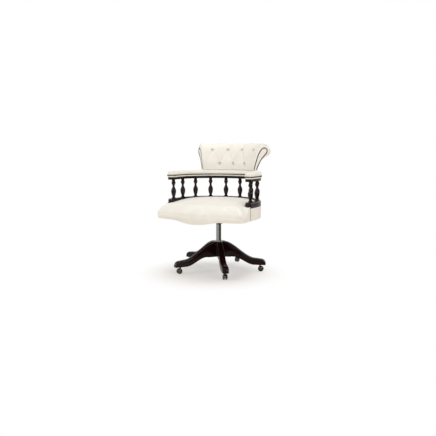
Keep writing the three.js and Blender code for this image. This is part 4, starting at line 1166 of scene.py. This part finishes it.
inner_edge = -RAIL_HALF_WIDTH - CLEAR
under_frame = seat_outline(FRAME_SETBACK - CLEAR, FRAME_SIDE_SETBACK, RAIL_HALF_WIDTH)
under_rail = horseshoe(OUTSIDE, inner_edge, ARM_FRONT_Y + BORDER_SETBACK - CLEAR, 0)
at_rail = horseshoe(OUTSIDE, inner_edge, ARM_FRONT_Y - CLEAR, 0)
beyond_hem = centre + (outline - centre) * 1.15
inside_hem = centre + (outline - centre) * 0.85
below_hem = skin("below_hem", [
    at_height(beyond_hem, TOOL_BOTTOM),
    np.column_stack([beyond_hem, low_rim]),
    np.column_stack([inside_hem, low_rim]),
])
carve(seat, [
    slab("under_seat", under_frame, TOOL_BOTTOM, straps_top + CLEAR),
    slab("under_rail", under_rail, TOOL_BOTTOM, frame_top),
    slab("at_rail", at_rail, frame_top - 1, TOOL_TOP),
    below_hem,
])
seat.data.shade_smooth()
seat.data.set_sharp_from_angle(angle=math.radians(50))
dress(seat, leather, "leather", "seat", "seat_cushion")
print("seat after the cuts:", len(seat.data.vertices), "points")

# %% [markdown]
# ## Side leather
#
# Under the gallery a separate strip of hide goes round the sides and the back of the seat. It is
# pulled over a thin layer of wadding, so it bulges by a millimetre or two and turns under at the
# hem. A waxed thread closes the seam where it meets the seat's cover.

# %% Border and side seams
low, high = levels("seat_border")
tall = high - low
rings = []
for share in np.concatenate([[0, 0.004, 0.02, 0.05], np.linspace(0.1, 0.9, 9), [0.95, 0.98, 1]]):
    belly = 1.6 * math.sin(math.pi * share) ** 0.6 - 1.2
    tuck = 2.2 * (1 - min(share / 0.05, 1)) ** 2 + 1.4 * (max(share - 0.95, 0) / 0.05) ** 2
    outer = RAIL_HALF_WIDTH + belly - tuck
    front = ARM_FRONT_Y + BORDER_SETBACK + 0.8 * (1 - math.sin(math.pi * share) ** 0.5)
    plan = horseshoe(outer, RAIL_HALF_WIDTH - 4, front, 1.4)
    rings.append(at_height(plan, low + share * tall))
border = skin("side_leather", rings, sharp=55)
dress(border, leather, "leather", "seat", "seat_border")

SEAM_CORD = 1.5
SEAM_STEPS = 24
for side in (1, -1):
    heights = np.linspace(low + 3, high - 0.6, SEAM_STEPS)
    line = np.column_stack([
        np.full(SEAM_STEPS, side * (SEAT_HALF_WIDTH - 0.2)),
        np.full(SEAM_STEPS, ARM_FRONT_Y + 2.6),
        heights,
    ])
    seam = wire_along(f"side_seam_{'left' if side > 0 else 'right'}", line, SEAM_CORD, 8)
    dress(seam, thread, "leather", "seat")
print(f"side seams {heights[-1] - heights[0]:.0f} mm long")

# %% [markdown]
# ## Arm pad
#
# The pad is a long stuffed roll on the upper rail. A band of hide is nailed round its foot, and
# the crown above is full and smooth. The band is a clean strip; the crown is puffed as the seat
# was, so that its ends round over like real stuffing.

# %% Arm pad and band
pad_low, pad_high = levels("arm_pad")
nails_low, nails_high = levels("arm_nail_trim")
nail_line = (nails_low + nails_high) / 2
BAND_TOP = nails_high + 1.2
BAND_OUT = 2.5
band_profile = [
    (2.2, 0), (0.6, 0.4), (0.1, 1.4), (0, 3), (0, BAND_TOP - pad_low - 1), (2, BAND_TOP - pad_low),
]
band_rings = [
    at_height(strip(inset - BAND_OUT), pad_low + height) for inset, height in band_profile
]
band = skin("arm_pad_band", band_rings, sharp=50)
dress(band, leather, "leather", "seat")

PAD_OUT = 5
PAD_ROUNDNESS = 2.6
END_SLOPE = 0.5
waist_z = BAND_TOP - 0.6
widest_z = waist_z + 3.4
pad_rings = [
    at_height(strip(2), waist_z),
    at_height(strip(-1), waist_z),
    at_height(strip(1 - PAD_OUT), waist_z + 1.4),
]
for turn in np.linspace(0, 0.9, 9):
    reach = math.cos(turn * math.pi / 2) ** (2 / PAD_ROUNDNESS)
    rise = math.sin(turn * math.pi / 2) ** (2 / PAD_ROUNDNESS)
    full = RAIL_HALF_WIDTH + PAD_OUT
    half = full * reach
    front = ARM_FRONT_Y - PAD_OUT + (full - half) * END_SLOPE
    corner = min(RAIL_CORNER + PAD_OUT, half * 0.95)
    plan = horseshoe(half, -half, front, corner)
    pad_rings.append(at_height(plan, widest_z + rise * (pad_high - widest_z)))
arm_pad = skin("arm_pad_roll", pad_rings)


def pad_freedom(points):
    return smoothstep(points[:, 2], waist_z - 0.5, waist_z + 8)


even_squares(arm_pad, 4.5)
puff(arm_pad, pad_freedom, 2, 4)
soft_finish(arm_pad)
dress(arm_pad, leather, "leather", "seat", "arm_pad")
print(f"arm pad {pad_low:.1f} to {pad_high:.1f} mm, {len(arm_pad.data.vertices)} points")

# %% [markdown]
# ## Nails
#
# Dome-headed nails stand side by side along the band and round both end facings of the back.
# Each head is a shallow dome with a thin rim. A few hundred of them are only a few points each,
# so they are drawn one by one and joined into one mesh for each row.

# %% Nail rows
HEAD_RINGS = ((1.0, 0.0), (1.0, 0.22), (0.9, 0.5), (0.62, 0.82), (0.28, 0.97))
HEAD_SIDES = 10


def nail_row(name, places, directions, radius, height):
    verts, faces = [], []
    for place, direction in zip(np.asarray(places, float), np.asarray(directions, float)):
        direction = direction / np.linalg.norm(direction)
        side = np.cross(direction, [0.1, 0.2, 0.97] if abs(direction[2]) < 0.9 else [1, 0, 0])
        side /= np.linalg.norm(side)
        up = np.cross(direction, side)
        first = len(verts)
        for reach, rise in HEAD_RINGS:
            for angle in np.linspace(0, math.tau, HEAD_SIDES, endpoint=False):
                arm = math.cos(angle) * side + math.sin(angle) * up
                verts.append((place + radius * reach * arm + height * rise * direction) * MM)
        verts.append((place + height * direction) * MM)
        for ring in range(len(HEAD_RINGS) - 1):
            for i in range(HEAD_SIDES):
                a = first + ring * HEAD_SIDES + i
                b = first + ring * HEAD_SIDES + (i + 1) % HEAD_SIDES
                faces.append((a, b, b + HEAD_SIDES, a + HEAD_SIDES))
        last = first + (len(HEAD_RINGS) - 1) * HEAD_SIDES
        faces += [(last + i, last + (i + 1) % HEAD_SIDES, len(verts) - 1) for i in range(HEAD_SIDES)]
        faces.append(tuple(first + i for i in reversed(range(HEAD_SIDES))))
    mesh = bpy.data.meshes.new(name)
    mesh.from_pydata([tuple(v) for v in verts], [], faces)
    return as_object(name, mesh, 60)


def spaced(line, pitch, closed=False):
    """Places at about one pitch along a line of points, and the line's direction at each."""
    line = np.vstack([line, line[:1]]) if closed else np.asarray(line)
    run = np.concatenate([[0], np.cumsum(np.linalg.norm(np.diff(line, axis=0), axis=1))])
    at = np.linspace(0, run[-1], round(run[-1] / pitch) + 1)
    at = at[:-1] if closed else at
    step = 0.5

    def on_line(distance):
        return np.column_stack([np.interp(distance, run, values) for values in line.T])

    ahead = on_line(np.minimum(at + step, run[-1]))
    behind = on_line(np.maximum(at - step, 0))
    return on_line(at), ahead - behind


ARM_NAIL = (4.3, 2.6)
ARM_NAIL_PITCH = 8.6
here, direction = spaced(strip(-BAND_OUT), ARM_NAIL_PITCH, closed=True)
outward_side = np.column_stack([direction[:, 1], -direction[:, 0], np.zeros(len(direction))])
places = np.column_stack([here, np.full(len(here), nail_line)])
arm_nails = nail_row("arm_nail_heads", places, outward_side, *ARM_NAIL)
dress(arm_nails, nail_brass, "nail_metal", "seat", "arm_nail_trim")
print("nails round the arm pad:", len(places))

# %% [markdown]
# ## The back's section
#
# The back is one section swept round the bend. The front rises from the arm pad, leans outward
# and rolls over into a scroll, and the rear face comes down again. The curve through its measured
# points is followed by its own length, so that seams, buttons and nails can be placed along it.

# %% The section and its sweep
BACK_DEPTH = 132
BACK_RISE = 189.5
BACK_LEAN = 13
BACK_END = math.radians(47.5)
BACK_SHARES = [
    (0, 0), (0.015, 0.232), (0.09, 0.446), (0.21, 0.67), (0.34, 0.835), (0.47, 0.945),
    (0.62, 1), (0.78, 0.945), (0.92, 0.83), (0.99, 0.71), (0.92, 0.597),
    (0.74, 0.505), (0.54, 0.43), (0.4, 0.338), (0.3, 0.19), (0.242, 0),
]
back_base = pad_high + 0.3
section_points = np.array(BACK_SHARES) * [BACK_DEPTH, BACK_RISE] + [-BACK_LEAN, back_base]
section_curve = smooth_profile(section_points, 40)
section_run = np.concatenate([[0], np.cumsum(np.linalg.norm(np.diff(section_curve, axis=0), axis=1))])
SECTION_LENGTH = section_run[-1]
HEADING_STEP = 1.5


def on_section(share, inward=0.0):
    """Places at shares of the section's length, moved inward: how far out, and how high."""
    at = np.asarray(share, float) * SECTION_LENGTH

    def on_curve(run):
        return np.stack([np.interp(run, section_run, section_curve[:, k]) for k in range(2)], -1)

    along = on_curve(at + HEADING_STEP) - on_curve(at - HEADING_STEP)
    along /= np.linalg.norm(along, axis=-1, keepdims=True)
    inward = np.asarray(inward, float)
    return on_curve(at) + np.stack([along[..., 1] * inward, -along[..., 0] * inward], -1)


def gallery_radius(angle):
    return 1 / np.hypot(np.sin(angle) / ARM_X, np.cos(angle) / BEND_DEPTH)


def swept(angle, section):
    radius = gallery_radius(angle) + section[..., 0]
    return np.stack([radius * np.sin(angle), BEND_Y + radius * np.cos(angle), section[..., 1]], -1)


def crown_height(offset):
    """The arm pad's height at an offset from the gallery's line."""
    reach = np.clip(np.abs(offset) / (RAIL_HALF_WIDTH + PAD_OUT), 0, 0.98)
    return widest_z + (pad_high - widest_z) * (1 - reach**PAD_ROUNDNESS) ** (1 / PAD_ROUNDNESS)


print(f"the section is {SECTION_LENGTH:.0f} mm long")

# %% [markdown]
# ## Deep buttoning
#
# Four buttons over three are pulled through the stuffing. The spare leather between them folds
# along straight lines, from each upper button down to its two lower neighbours, straight down
# from the lower ones, and up over the scroll from the upper ones. Between the folds the stuffing
# stands up in full pillows. Each point's depth is worked out from its distance to the folds and
# the buttons, which keeps the folds as crisp as an upholsterer's.

# %% Fold and button depths
BUTTON_PITCH = math.radians(10.7)
LOWER_ROW, UPPER_ROW = 0.097, 0.324
OUTER_COLUMN = 3
FOLD_DEPTH = 4.3
PILLOW = 2.6
BUTTON_DIP = 11.6
DIP_SPREAD = 11.5
DIP_STEEPNESS = 5
PLEAT_END = 0.55
GATHERS = 7
GATHER_DEPTH, GATHER_PLACE, GATHER_WIDTH = 0.5, 17, 8
buttons = [(column, UPPER_ROW) for column in (-3, -1, 1, 3)]
buttons += [(column, LOWER_ROW) for column in (-2, 0, 2)]


def to_even(value):
    """How far a number lies from the nearest even one."""
    return np.abs(value - 2 * np.round(value / 2))


def tuft_depth(angle, share):
    """How deep the hide is drawn in at a place: folds, pillows, dimples and their gathers."""
    column = angle / BUTTON_PITCH
    row = np.clip((share - LOWER_ROW) / (UPPER_ROW - LOWER_ROW), 0, 1)
    near = np.sin(math.pi / 2 * to_even(column - row)) * np.sin(math.pi / 2 * to_even(column + row))
    pillow = np.sqrt(np.clip(near, 0, 1)) ** 0.9
    sides = 1 - smoothstep(np.abs(column), OUTER_COLUMN, OUTER_COLUMN + 1.1)
    top = 1 - smoothstep(share, UPPER_ROW + 0.02, PLEAT_END)
    depth = (FOLD_DEPTH * (1 - pillow) - PILLOW * pillow) * sides * top
    across_scale = gallery_radius(angle) + on_section(share)[..., 0]
    for button_column, button_share in buttons:
        across = (angle - button_column * BUTTON_PITCH) * across_scale
        along = (share - button_share) * SECTION_LENGTH
        distance = np.hypot(across, along)
        depth = depth + BUTTON_DIP * np.exp(-((distance / DIP_SPREAD) ** DIP_STEEPNESS))
        ring = np.exp(-(((distance - GATHER_PLACE) / GATHER_WIDTH) ** 2))
        depth = depth + GATHER_DEPTH * (np.cos(GATHERS * np.arctan2(along, across)) * ring)
    return depth


# %% [markdown]
# The pad's two ends round over onto the flat end facings, and its foot tucks in behind the arm
# pad's crown. Both are the same idea: near an edge the surface is drawn inward along a quarter
# circle.

# %% Back pad
PAD_THICKNESS = 18
SCROLL_SEAM = 0.803
EDGE_ROUND = 14
EDGE_FALL = 10
FACING = 4.3
END_OFFSET = 20
FOOT_TUCK, FOOT_TUCK_REACH = 3.5, 7
SEAM_TUCK, SEAM_TUCK_REACH = 3.0, 6
FOOT_SINK = 0.6
ROWS, COLUMNS = 250, 290


def edge_curve(distance):
    """How far the skin has rolled in at a distance from the end plane, as a share."""
    fall = np.clip(1 - distance / EDGE_ROUND, 0, 1)
    return 1 - np.sqrt(1 - 0.98 * fall**2)


station = np.linspace(-1, 1, COLUMNS) * BACK_END
row_share = np.linspace(0, SCROLL_SEAM, ROWS)
angle_grid, share_grid = np.meshgrid(station, row_share, indexing="ij")
surface = on_section(share_grid)
end_distance = (BACK_END - np.abs(angle_grid)) * (gallery_radius(angle_grid) + surface[..., 0])
edge_inset = EDGE_FALL * edge_curve(end_distance)
from_foot = share_grid * SECTION_LENGTH
from_seam = (SCROLL_SEAM - share_grid) * SECTION_LENGTH
foot_tuck = FOOT_TUCK * np.clip(1 - from_foot / FOOT_TUCK_REACH, 0, 1) ** 2
seam_tuck = SEAM_TUCK * np.clip(1 - from_seam / SEAM_TUCK_REACH, 0, 1) ** 2
depth = tuft_depth(angle_grid, share_grid) + edge_inset + foot_tuck + seam_tuck
outer = on_section(share_grid, depth)
foot_z = crown_height(outer[:, 0, 0]) - FOOT_SINK
outer[:, 0, 1] = foot_z
inner_share = np.linspace(SCROLL_SEAM, 0, 14)
_, inner_grid = np.meshgrid(station, inner_share, indexing="ij")
inner = on_section(inner_grid, PAD_THICKNESS - 1.0)
inner[:, -1, 1] = foot_z
cut_angle = np.sign(station) * np.minimum(
    np.abs(station), BACK_END - FACING / (gallery_radius(station) + END_OFFSET),
)
section = np.concatenate([outer, inner], axis=1)
angles = np.broadcast_to(cut_angle[:, None], section.shape[:2])
back_pad = skin("buttoned_back", swept(angles, section), sharp=70)
dress(back_pad, leather, "leather", "seat", "back_pad")
print(f"back pad: {len(back_pad.data.vertices)} points, deepest fold {depth.max():.1f} mm")

# %% Rear cover and welt
COVER_ROUND, COVER_ROUND_REACH = 3.0, 8
COVER_TUCK = 2.2
COVER_BELLY = 1.0
COVER_THICKNESS = 3.9
WELT_RADIUS = 2.6

seam_shares = [SCROLL_SEAM + 0.004, SCROLL_SEAM + 0.008]
cover_share = np.array([*seam_shares, *np.linspace(0.82, 0.985, 22), 1.0])
cover_reach = BACK_END - FACING / (gallery_radius(BACK_END) + END_OFFSET)
cover_station = np.linspace(-cover_reach, cover_reach, COLUMNS)
cover_angle, cover_grid = np.meshgrid(cover_station, cover_share, indexing="ij")
end_distance = (BACK_END - np.abs(cover_angle)) * gallery_radius(cover_angle)
rounding = COVER_ROUND * np.clip(1 - (end_distance - FACING) / COVER_ROUND_REACH, 0, 1) ** 2
from_seam = (cover_grid - SCROLL_SEAM) * SECTION_LENGTH
tuck = COVER_TUCK * np.clip(1 - from_seam / SEAM_TUCK_REACH, 0, 1) ** 2
belly = -COVER_BELLY * np.sin(math.pi * (cover_grid - SCROLL_SEAM) / (1 - SCROLL_SEAM))
outer = on_section(cover_grid, rounding + tuck + belly)
outer[:, -1, 1] = crown_height(outer[:, -1, 0]) - FOOT_SINK
inner = on_section(cover_grid[:, ::-1], COVER_THICKNESS)
inner[:, 0, 1] = outer[:, -1, 1]
section = np.concatenate([outer, inner], axis=1)
angles = np.broadcast_to(cover_station[:, None], section.shape[:2])
cover = skin("rear_cover", swept(angles, section), sharp=70)
dress(cover, leather, "leather", "seat", "back_cover")

welt_line = swept(cover_station, on_section(np.full(COLUMNS, SCROLL_SEAM + 0.002), 0.6))
welt = wire_along("scroll_welt", welt_line, WELT_RADIUS, 12)
dress(welt, leather, "leather", "seat")
welt_length = np.linalg.norm(np.diff(welt_line, axis=0), axis=1).sum()
print(f"welt {welt_length:.0f} mm long")

# %% [markdown]
# ## End facings
#
# The hide of the scroll wraps round onto each end and is held there by a row of nails, which
# draws a dark loop in the photograph: near the edge beside the arm, well inside it round the
# head. Inside the loop lies a flat panel of hide over card.

# %% Facings and their nails
END_NAIL = (4.5, 2.6)
END_NAIL_PITCH = 9.0
# The nail loop, from its front foot round the head to its rear foot: how far outside the
# gallery's line it lies, and how far above the foot of the back.
LOOP = [
    (-7.5, 10), (0.0, 40), (8.5, 69), (15.5, 92), (24.5, 114), (34.5, 132), (46.0, 147), (60.5, 156),
    (75.5, 153.5), (85.5, 143), (86.0, 129), (78.5, 117), (68.0, 106), (55.5, 91), (43.5, 76),
    (33.5, 59), (24.5, 40), (17.0, 25), (11.5, 10),
]
# Each ring: a share of the way from the outline to the nails, then how far out it stands.
WRAP_RINGS = (
    (0.34, -4.0), (0.36, -3.0), (0.46, -1.4), (0.6, -0.2), (0.74, 0.5), (0.86, 0.5), (0.95, 0.0),
    (1.0, -0.5),
)
PANEL_RINGS = ((1.4, -0.5), (2.2, 0.1), (3.2, 0.3))
WRAP_START, WRAP_SPAN = 0.34, 0.66


def end_plane(side):
    """The end plane's outward, upward and across directions."""
    angle = side * BACK_END
    out = np.array([math.sin(angle), math.cos(angle), 0])
    across = np.array([math.cos(angle), -math.sin(angle), 0]) * side
    return out, np.array([0, 0, 1.0]), across


def on_end(side, section, across):
    out, up, sideways = end_plane(side)
    radius = gallery_radius(side * BACK_END) + section[:, :1]
    centre_line = np.array([0, BEND_Y, 0])
    return centre_line + radius * out + section[:, 1:] * up + across * sideways


outline_share = np.linspace(0.006, 0.994, 140)
outline_edge = on_section(outline_share, EDGE_FALL * edge_curve(FACING))
loop = smooth_profile(np.array(LOOP) + [0, back_base], 12)
gaps = np.linalg.norm(loop[:, None] - on_section(outline_share)[None], axis=2)
facing_share = np.maximum.accumulate(outline_share[gaps.argmin(1)] + np.linspace(0, 0.02, len(loop)))
facing_share = (facing_share - facing_share[0]) / (facing_share[-1] - facing_share[0])
even_share = (outline_share - outline_share[0]) / (outline_share[-1] - outline_share[0])
nail_points = np.column_stack([np.interp(even_share, facing_share, loop[:, k]) for k in range(2)])
heading = np.gradient(nail_points, axis=0)
heading /= np.linalg.norm(heading, axis=1, keepdims=True)
loop_inward = np.column_stack([heading[:, 1], -heading[:, 0]])
for side, word in ((1, "left"), (-1, "right")):
    sections = [
        (outline_edge + (nail_points - outline_edge) * (share - WRAP_START) / WRAP_SPAN, out)
        for share, out in WRAP_RINGS
    ]
    sections += [(nail_points + extra * loop_inward, out) for extra, out in PANEL_RINGS]
    rings = []
    for section, out in sections:
        section[[0, -1], 1] = crown_height(section[[0, -1], 0]) + 0.2
        rings.append(on_end(side, section, out))
    facing = skin(f"end_facing_{word}", rings, sharp=60)
    dress(facing, leather, "leather", "seat", f"back_facing_{word}")
    here, _ = spaced(loop, END_NAIL_PITCH)
    places = on_end(side, here, -0.4)
    directions = np.tile(end_plane(side)[2], (len(places), 1))
    heads = nail_row(f"end_nail_heads_{word}", places, directions, *END_NAIL)
    dress(heads, nail_brass, "nail_metal", "seat", f"back_nail_trim_{word}")
    print(f"nails round the {word} facing:", len(places))

# %% [markdown]
# ## Buttons
#
# A button is a stamped shell covered in the same hide. It sits at the bottom of its dimple with
# its face square to the pad, so only a small dome shows, ringed by shade.

# %% Covered buttons
BUTTON_RADIUS = 6.9
BUTTON_SEAT = 15.6

for number, (column, share) in enumerate(buttons, start=1):
    dome = [
        (BUTTON_RADIUS * math.cos(a), 1.4 + 3.4 * math.sin(a))
        for a in np.linspace(0.15, math.pi / 2, 8)
    ]
    rim = [(0, 0), (BUTTON_RADIUS - 0.8, 0), (BUTTON_RADIUS, 0.8), (BUTTON_RADIUS, 1.4)]
    button = turning(f"covered_button_{number}", rim + dome, 32, 50)
    angle = column * BUTTON_PITCH
    section = on_section(np.array([share - 0.004, share, share + 0.004]))
    along = section[2] - section[0]
    out_of_pad = np.array([-along[1], along[0]]) / np.linalg.norm(along)
    heading = np.array([math.sin(angle), math.cos(angle), 0]) * out_of_pad[0]
    heading[2] = out_of_pad[1]
    seat_place = swept(np.array(angle), on_section(share, BUTTON_SEAT))
    button.rotation_euler = Vector(heading).to_track_quat("Z", "Y").to_euler()
    button.location = Vector(seat_place * MM)
    dress(button, leather, "leather", "seat", f"button_{number}")

# %% [markdown]
# ## Floor, backdrop and light
#
# The photograph shows the chair on white with a soft, warm shadow. Three softboxes, overhead, at
# the sitter's left and in front at the sitter's right, light the leather at the level where its
# colour comes out as written. The floor is white and shows its own shading near the chair.
# Further out it fades to plain white, so that no horizon shows. Polish and plate see painted
# reflections: for reflected rays only, the world is white at the horizon, dim above like a painted
# ceiling and dark towards one side, and the floor is dimmer and darker on that side too, though no
# object stands there. This gives the column its dark streak and keeps the wood nearly black.

# %% Floor and world
FLOOR_REACH = 30.0
FLOOR_GAP = 0.0002
floor_mesh = bpy.data.meshes.new("studio_floor")
corners = [(-1, -1), (1, -1), (1, 1), (-1, 1)]
floor_mesh.from_pydata(
    [(x * FLOOR_REACH, y * FLOOR_REACH, 0) for x, y in corners], [], [(0, 1, 2, 3)],
)
floor = in_scene("studio_floor", floor_mesh)
floor.location.z = -FLOOR_GAP
floor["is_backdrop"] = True

SHADE_CENTRE = (0.0, -0.1, 0.0)
SHADE_NEAR, SHADE_FAR = 0.2, 0.55
FLOOR_MIRRORED = 0.42
DARK_SIDE = 0.06
DARK_HEADING = (1.0, 0.05, 0.0)


def painted_dark_reflection(tree, towards, brightest):
    """How bright reflections are in a level direction: far darker towards one side, a painted dark
    reflection with nothing standing there.
    """
    sideways = add(tree, "ShaderNodeVectorMath", {0: towards, 1: DARK_HEADING}, operation="DOT_PRODUCT")
    return add(tree, "ShaderNodeMapRange", {
        "Value": sideways.outputs["Value"], "From Min": 0.35, "From Max": 0.8,
        "To Min": brightest, "To Max": DARK_SIDE,
    }, interpolation_type="SMOOTHSTEP")


studio_white, tree = new_material("painted_studio_floor")
place = add(tree, "ShaderNodeTexCoord").outputs["Object"]
from_shade = add(tree, "ShaderNodeVectorMath", {0: place, 1: SHADE_CENTRE}, operation="SUBTRACT")
distance = add(tree, "ShaderNodeVectorMath", {0: from_shade.outputs["Vector"]}, operation="LENGTH")
fade = add(tree, "ShaderNodeMapRange", {
    "Value": distance.outputs["Value"], "From Min": SHADE_NEAR, "From Max": SHADE_FAR,
    "To Min": 0.45, "To Max": 1.0,
}, interpolation_type="SMOOTHSTEP")
paint = add(tree, "ShaderNodeBsdfDiffuse", {"Color": linear("F3E9DD")})
seen = add(tree, "ShaderNodeLightPath")
# Painted reflection: reflected rays see the floor dimmer than the camera does, and darker still towards
# one side.
outward_place = add(tree, "ShaderNodeVectorMath", {0: place}, operation="NORMALIZE")
shown = add(tree, "ShaderNodeMapRange", {
    "Value": seen.outputs["Is Glossy Ray"], "To Min": 1.0,
    "To Max": painted_dark_reflection(tree, outward_place.outputs["Vector"], FLOOR_MIRRORED).outputs["Result"],
})
glow = add(tree, "ShaderNodeEmission", {"Color": [1, 1, 1, 1], "Strength": shown.outputs["Result"]})
mirrored = add(tree, "ShaderNodeMath", {
    0: seen.outputs["Is Glossy Ray"], 1: seen.outputs["Is Transmission Ray"],
}, operation="MAXIMUM")
looked_at = add(tree, "ShaderNodeMath", {
    0: seen.outputs["Is Camera Ray"], 1: mirrored.outputs["Value"],
}, operation="MAXIMUM")
share = add(tree, "ShaderNodeMath", {
    0: fade.outputs["Result"], 1: looked_at.outputs["Value"],
}, operation="MULTIPLY")
mixed = add(tree, "ShaderNodeMixShader", {
    0: share.outputs["Value"], 1: paint.outputs["BSDF"], 2: glow.outputs["Emission"],
})
finish_material(studio_white, mixed)
floor_mesh.materials.append(studio_white)

world = bpy.data.worlds.new("studio")
bpy.context.scene.world = world
world.use_nodes = True
tree = world.node_tree
tree.nodes.clear()
AMBIENT = 0.45
PAINTED_CEILING_LEVEL = 0.25

# Painted reflection: only reflected rays see the dim painted ceiling and the dark side; diffuse light
# sees an even world at the ambient level.
towards = add(tree, "ShaderNodeTexCoord").outputs["Generated"]
upward = add(tree, "ShaderNodeSeparateXYZ", {"Vector": towards})
painted_ceiling = add(tree, "ShaderNodeMapRange", {
    "Value": upward.outputs["Z"], "From Min": 0.12, "From Max": 0.5, "To Min": 1.0, "To Max": PAINTED_CEILING_LEVEL,
}, interpolation_type="SMOOTHSTEP")
studio = add(tree, "ShaderNodeMath", {
    0: painted_ceiling.outputs["Result"], 1: painted_dark_reflection(tree, towards, 1.0).outputs["Result"],
}, operation="MULTIPLY")
seen = add(tree, "ShaderNodeLightPath")
mirrored = add(tree, "ShaderNodeMapRange", {
    "Value": seen.outputs["Is Glossy Ray"], "To Min": AMBIENT, "To Max": studio.outputs["Value"],
})
straight_on = add(tree, "ShaderNodeMath", {
    0: seen.outputs["Is Camera Ray"], 1: seen.outputs["Is Transmission Ray"],
}, operation="MAXIMUM")
level = add(tree, "ShaderNodeMapRange", {
    "Value": straight_on.outputs["Value"], "To Min": mirrored.outputs["Result"], "To Max": 1.0,
})
sky = add(tree, "ShaderNodeBackground", {"Color": [1, 1, 1, 1], "Strength": level.outputs["Result"]})
add(tree, "ShaderNodeOutputWorld", {"Surface": sky.outputs["Background"]})

# %% Softboxes
def softbox(name, place, aim, size, watts, colour):
    data = bpy.data.lights.new(name, "AREA")
    data.shape = "RECTANGLE"
    data.size, data.size_y = size
    data.energy = watts
    data.color = linear(colour)[:3]
    lamp = in_scene(name, data)
    lamp.location = place
    lamp.rotation_euler = (Vector(aim) - Vector(place)).to_track_quat("-Z", "Y").to_euler()


CHAIR_MIDDLE = (0, 0, 0.5)
softbox("overhead_softbox", (0.15, 0.6, 4.2), CHAIR_MIDDLE, (3.2, 3.2), 68, "FFFCF8")
softbox("side_softbox", (2.8, -1.3, 1.6), CHAIR_MIDDLE, (1.6, 1.6), 29, "FFFEFC")
softbox("front_softbox", (-1.95, -2.15, 2.25), CHAIR_MIDDLE, (1.6, 1.6), 32, "FFFEFC")

# %% Measure and finish
dressed_box = [list(corner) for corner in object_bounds()]
for axis, name in enumerate("xyz"):
    cad = cad_box[1][axis] - cad_box[0][axis]
    seen_size = dressed_box[1][axis] - dressed_box[0][axis]
    print(f"{name}: CAD {1000 * cad:.1f} mm, dressed {1000 * seen_size:.1f} mm")
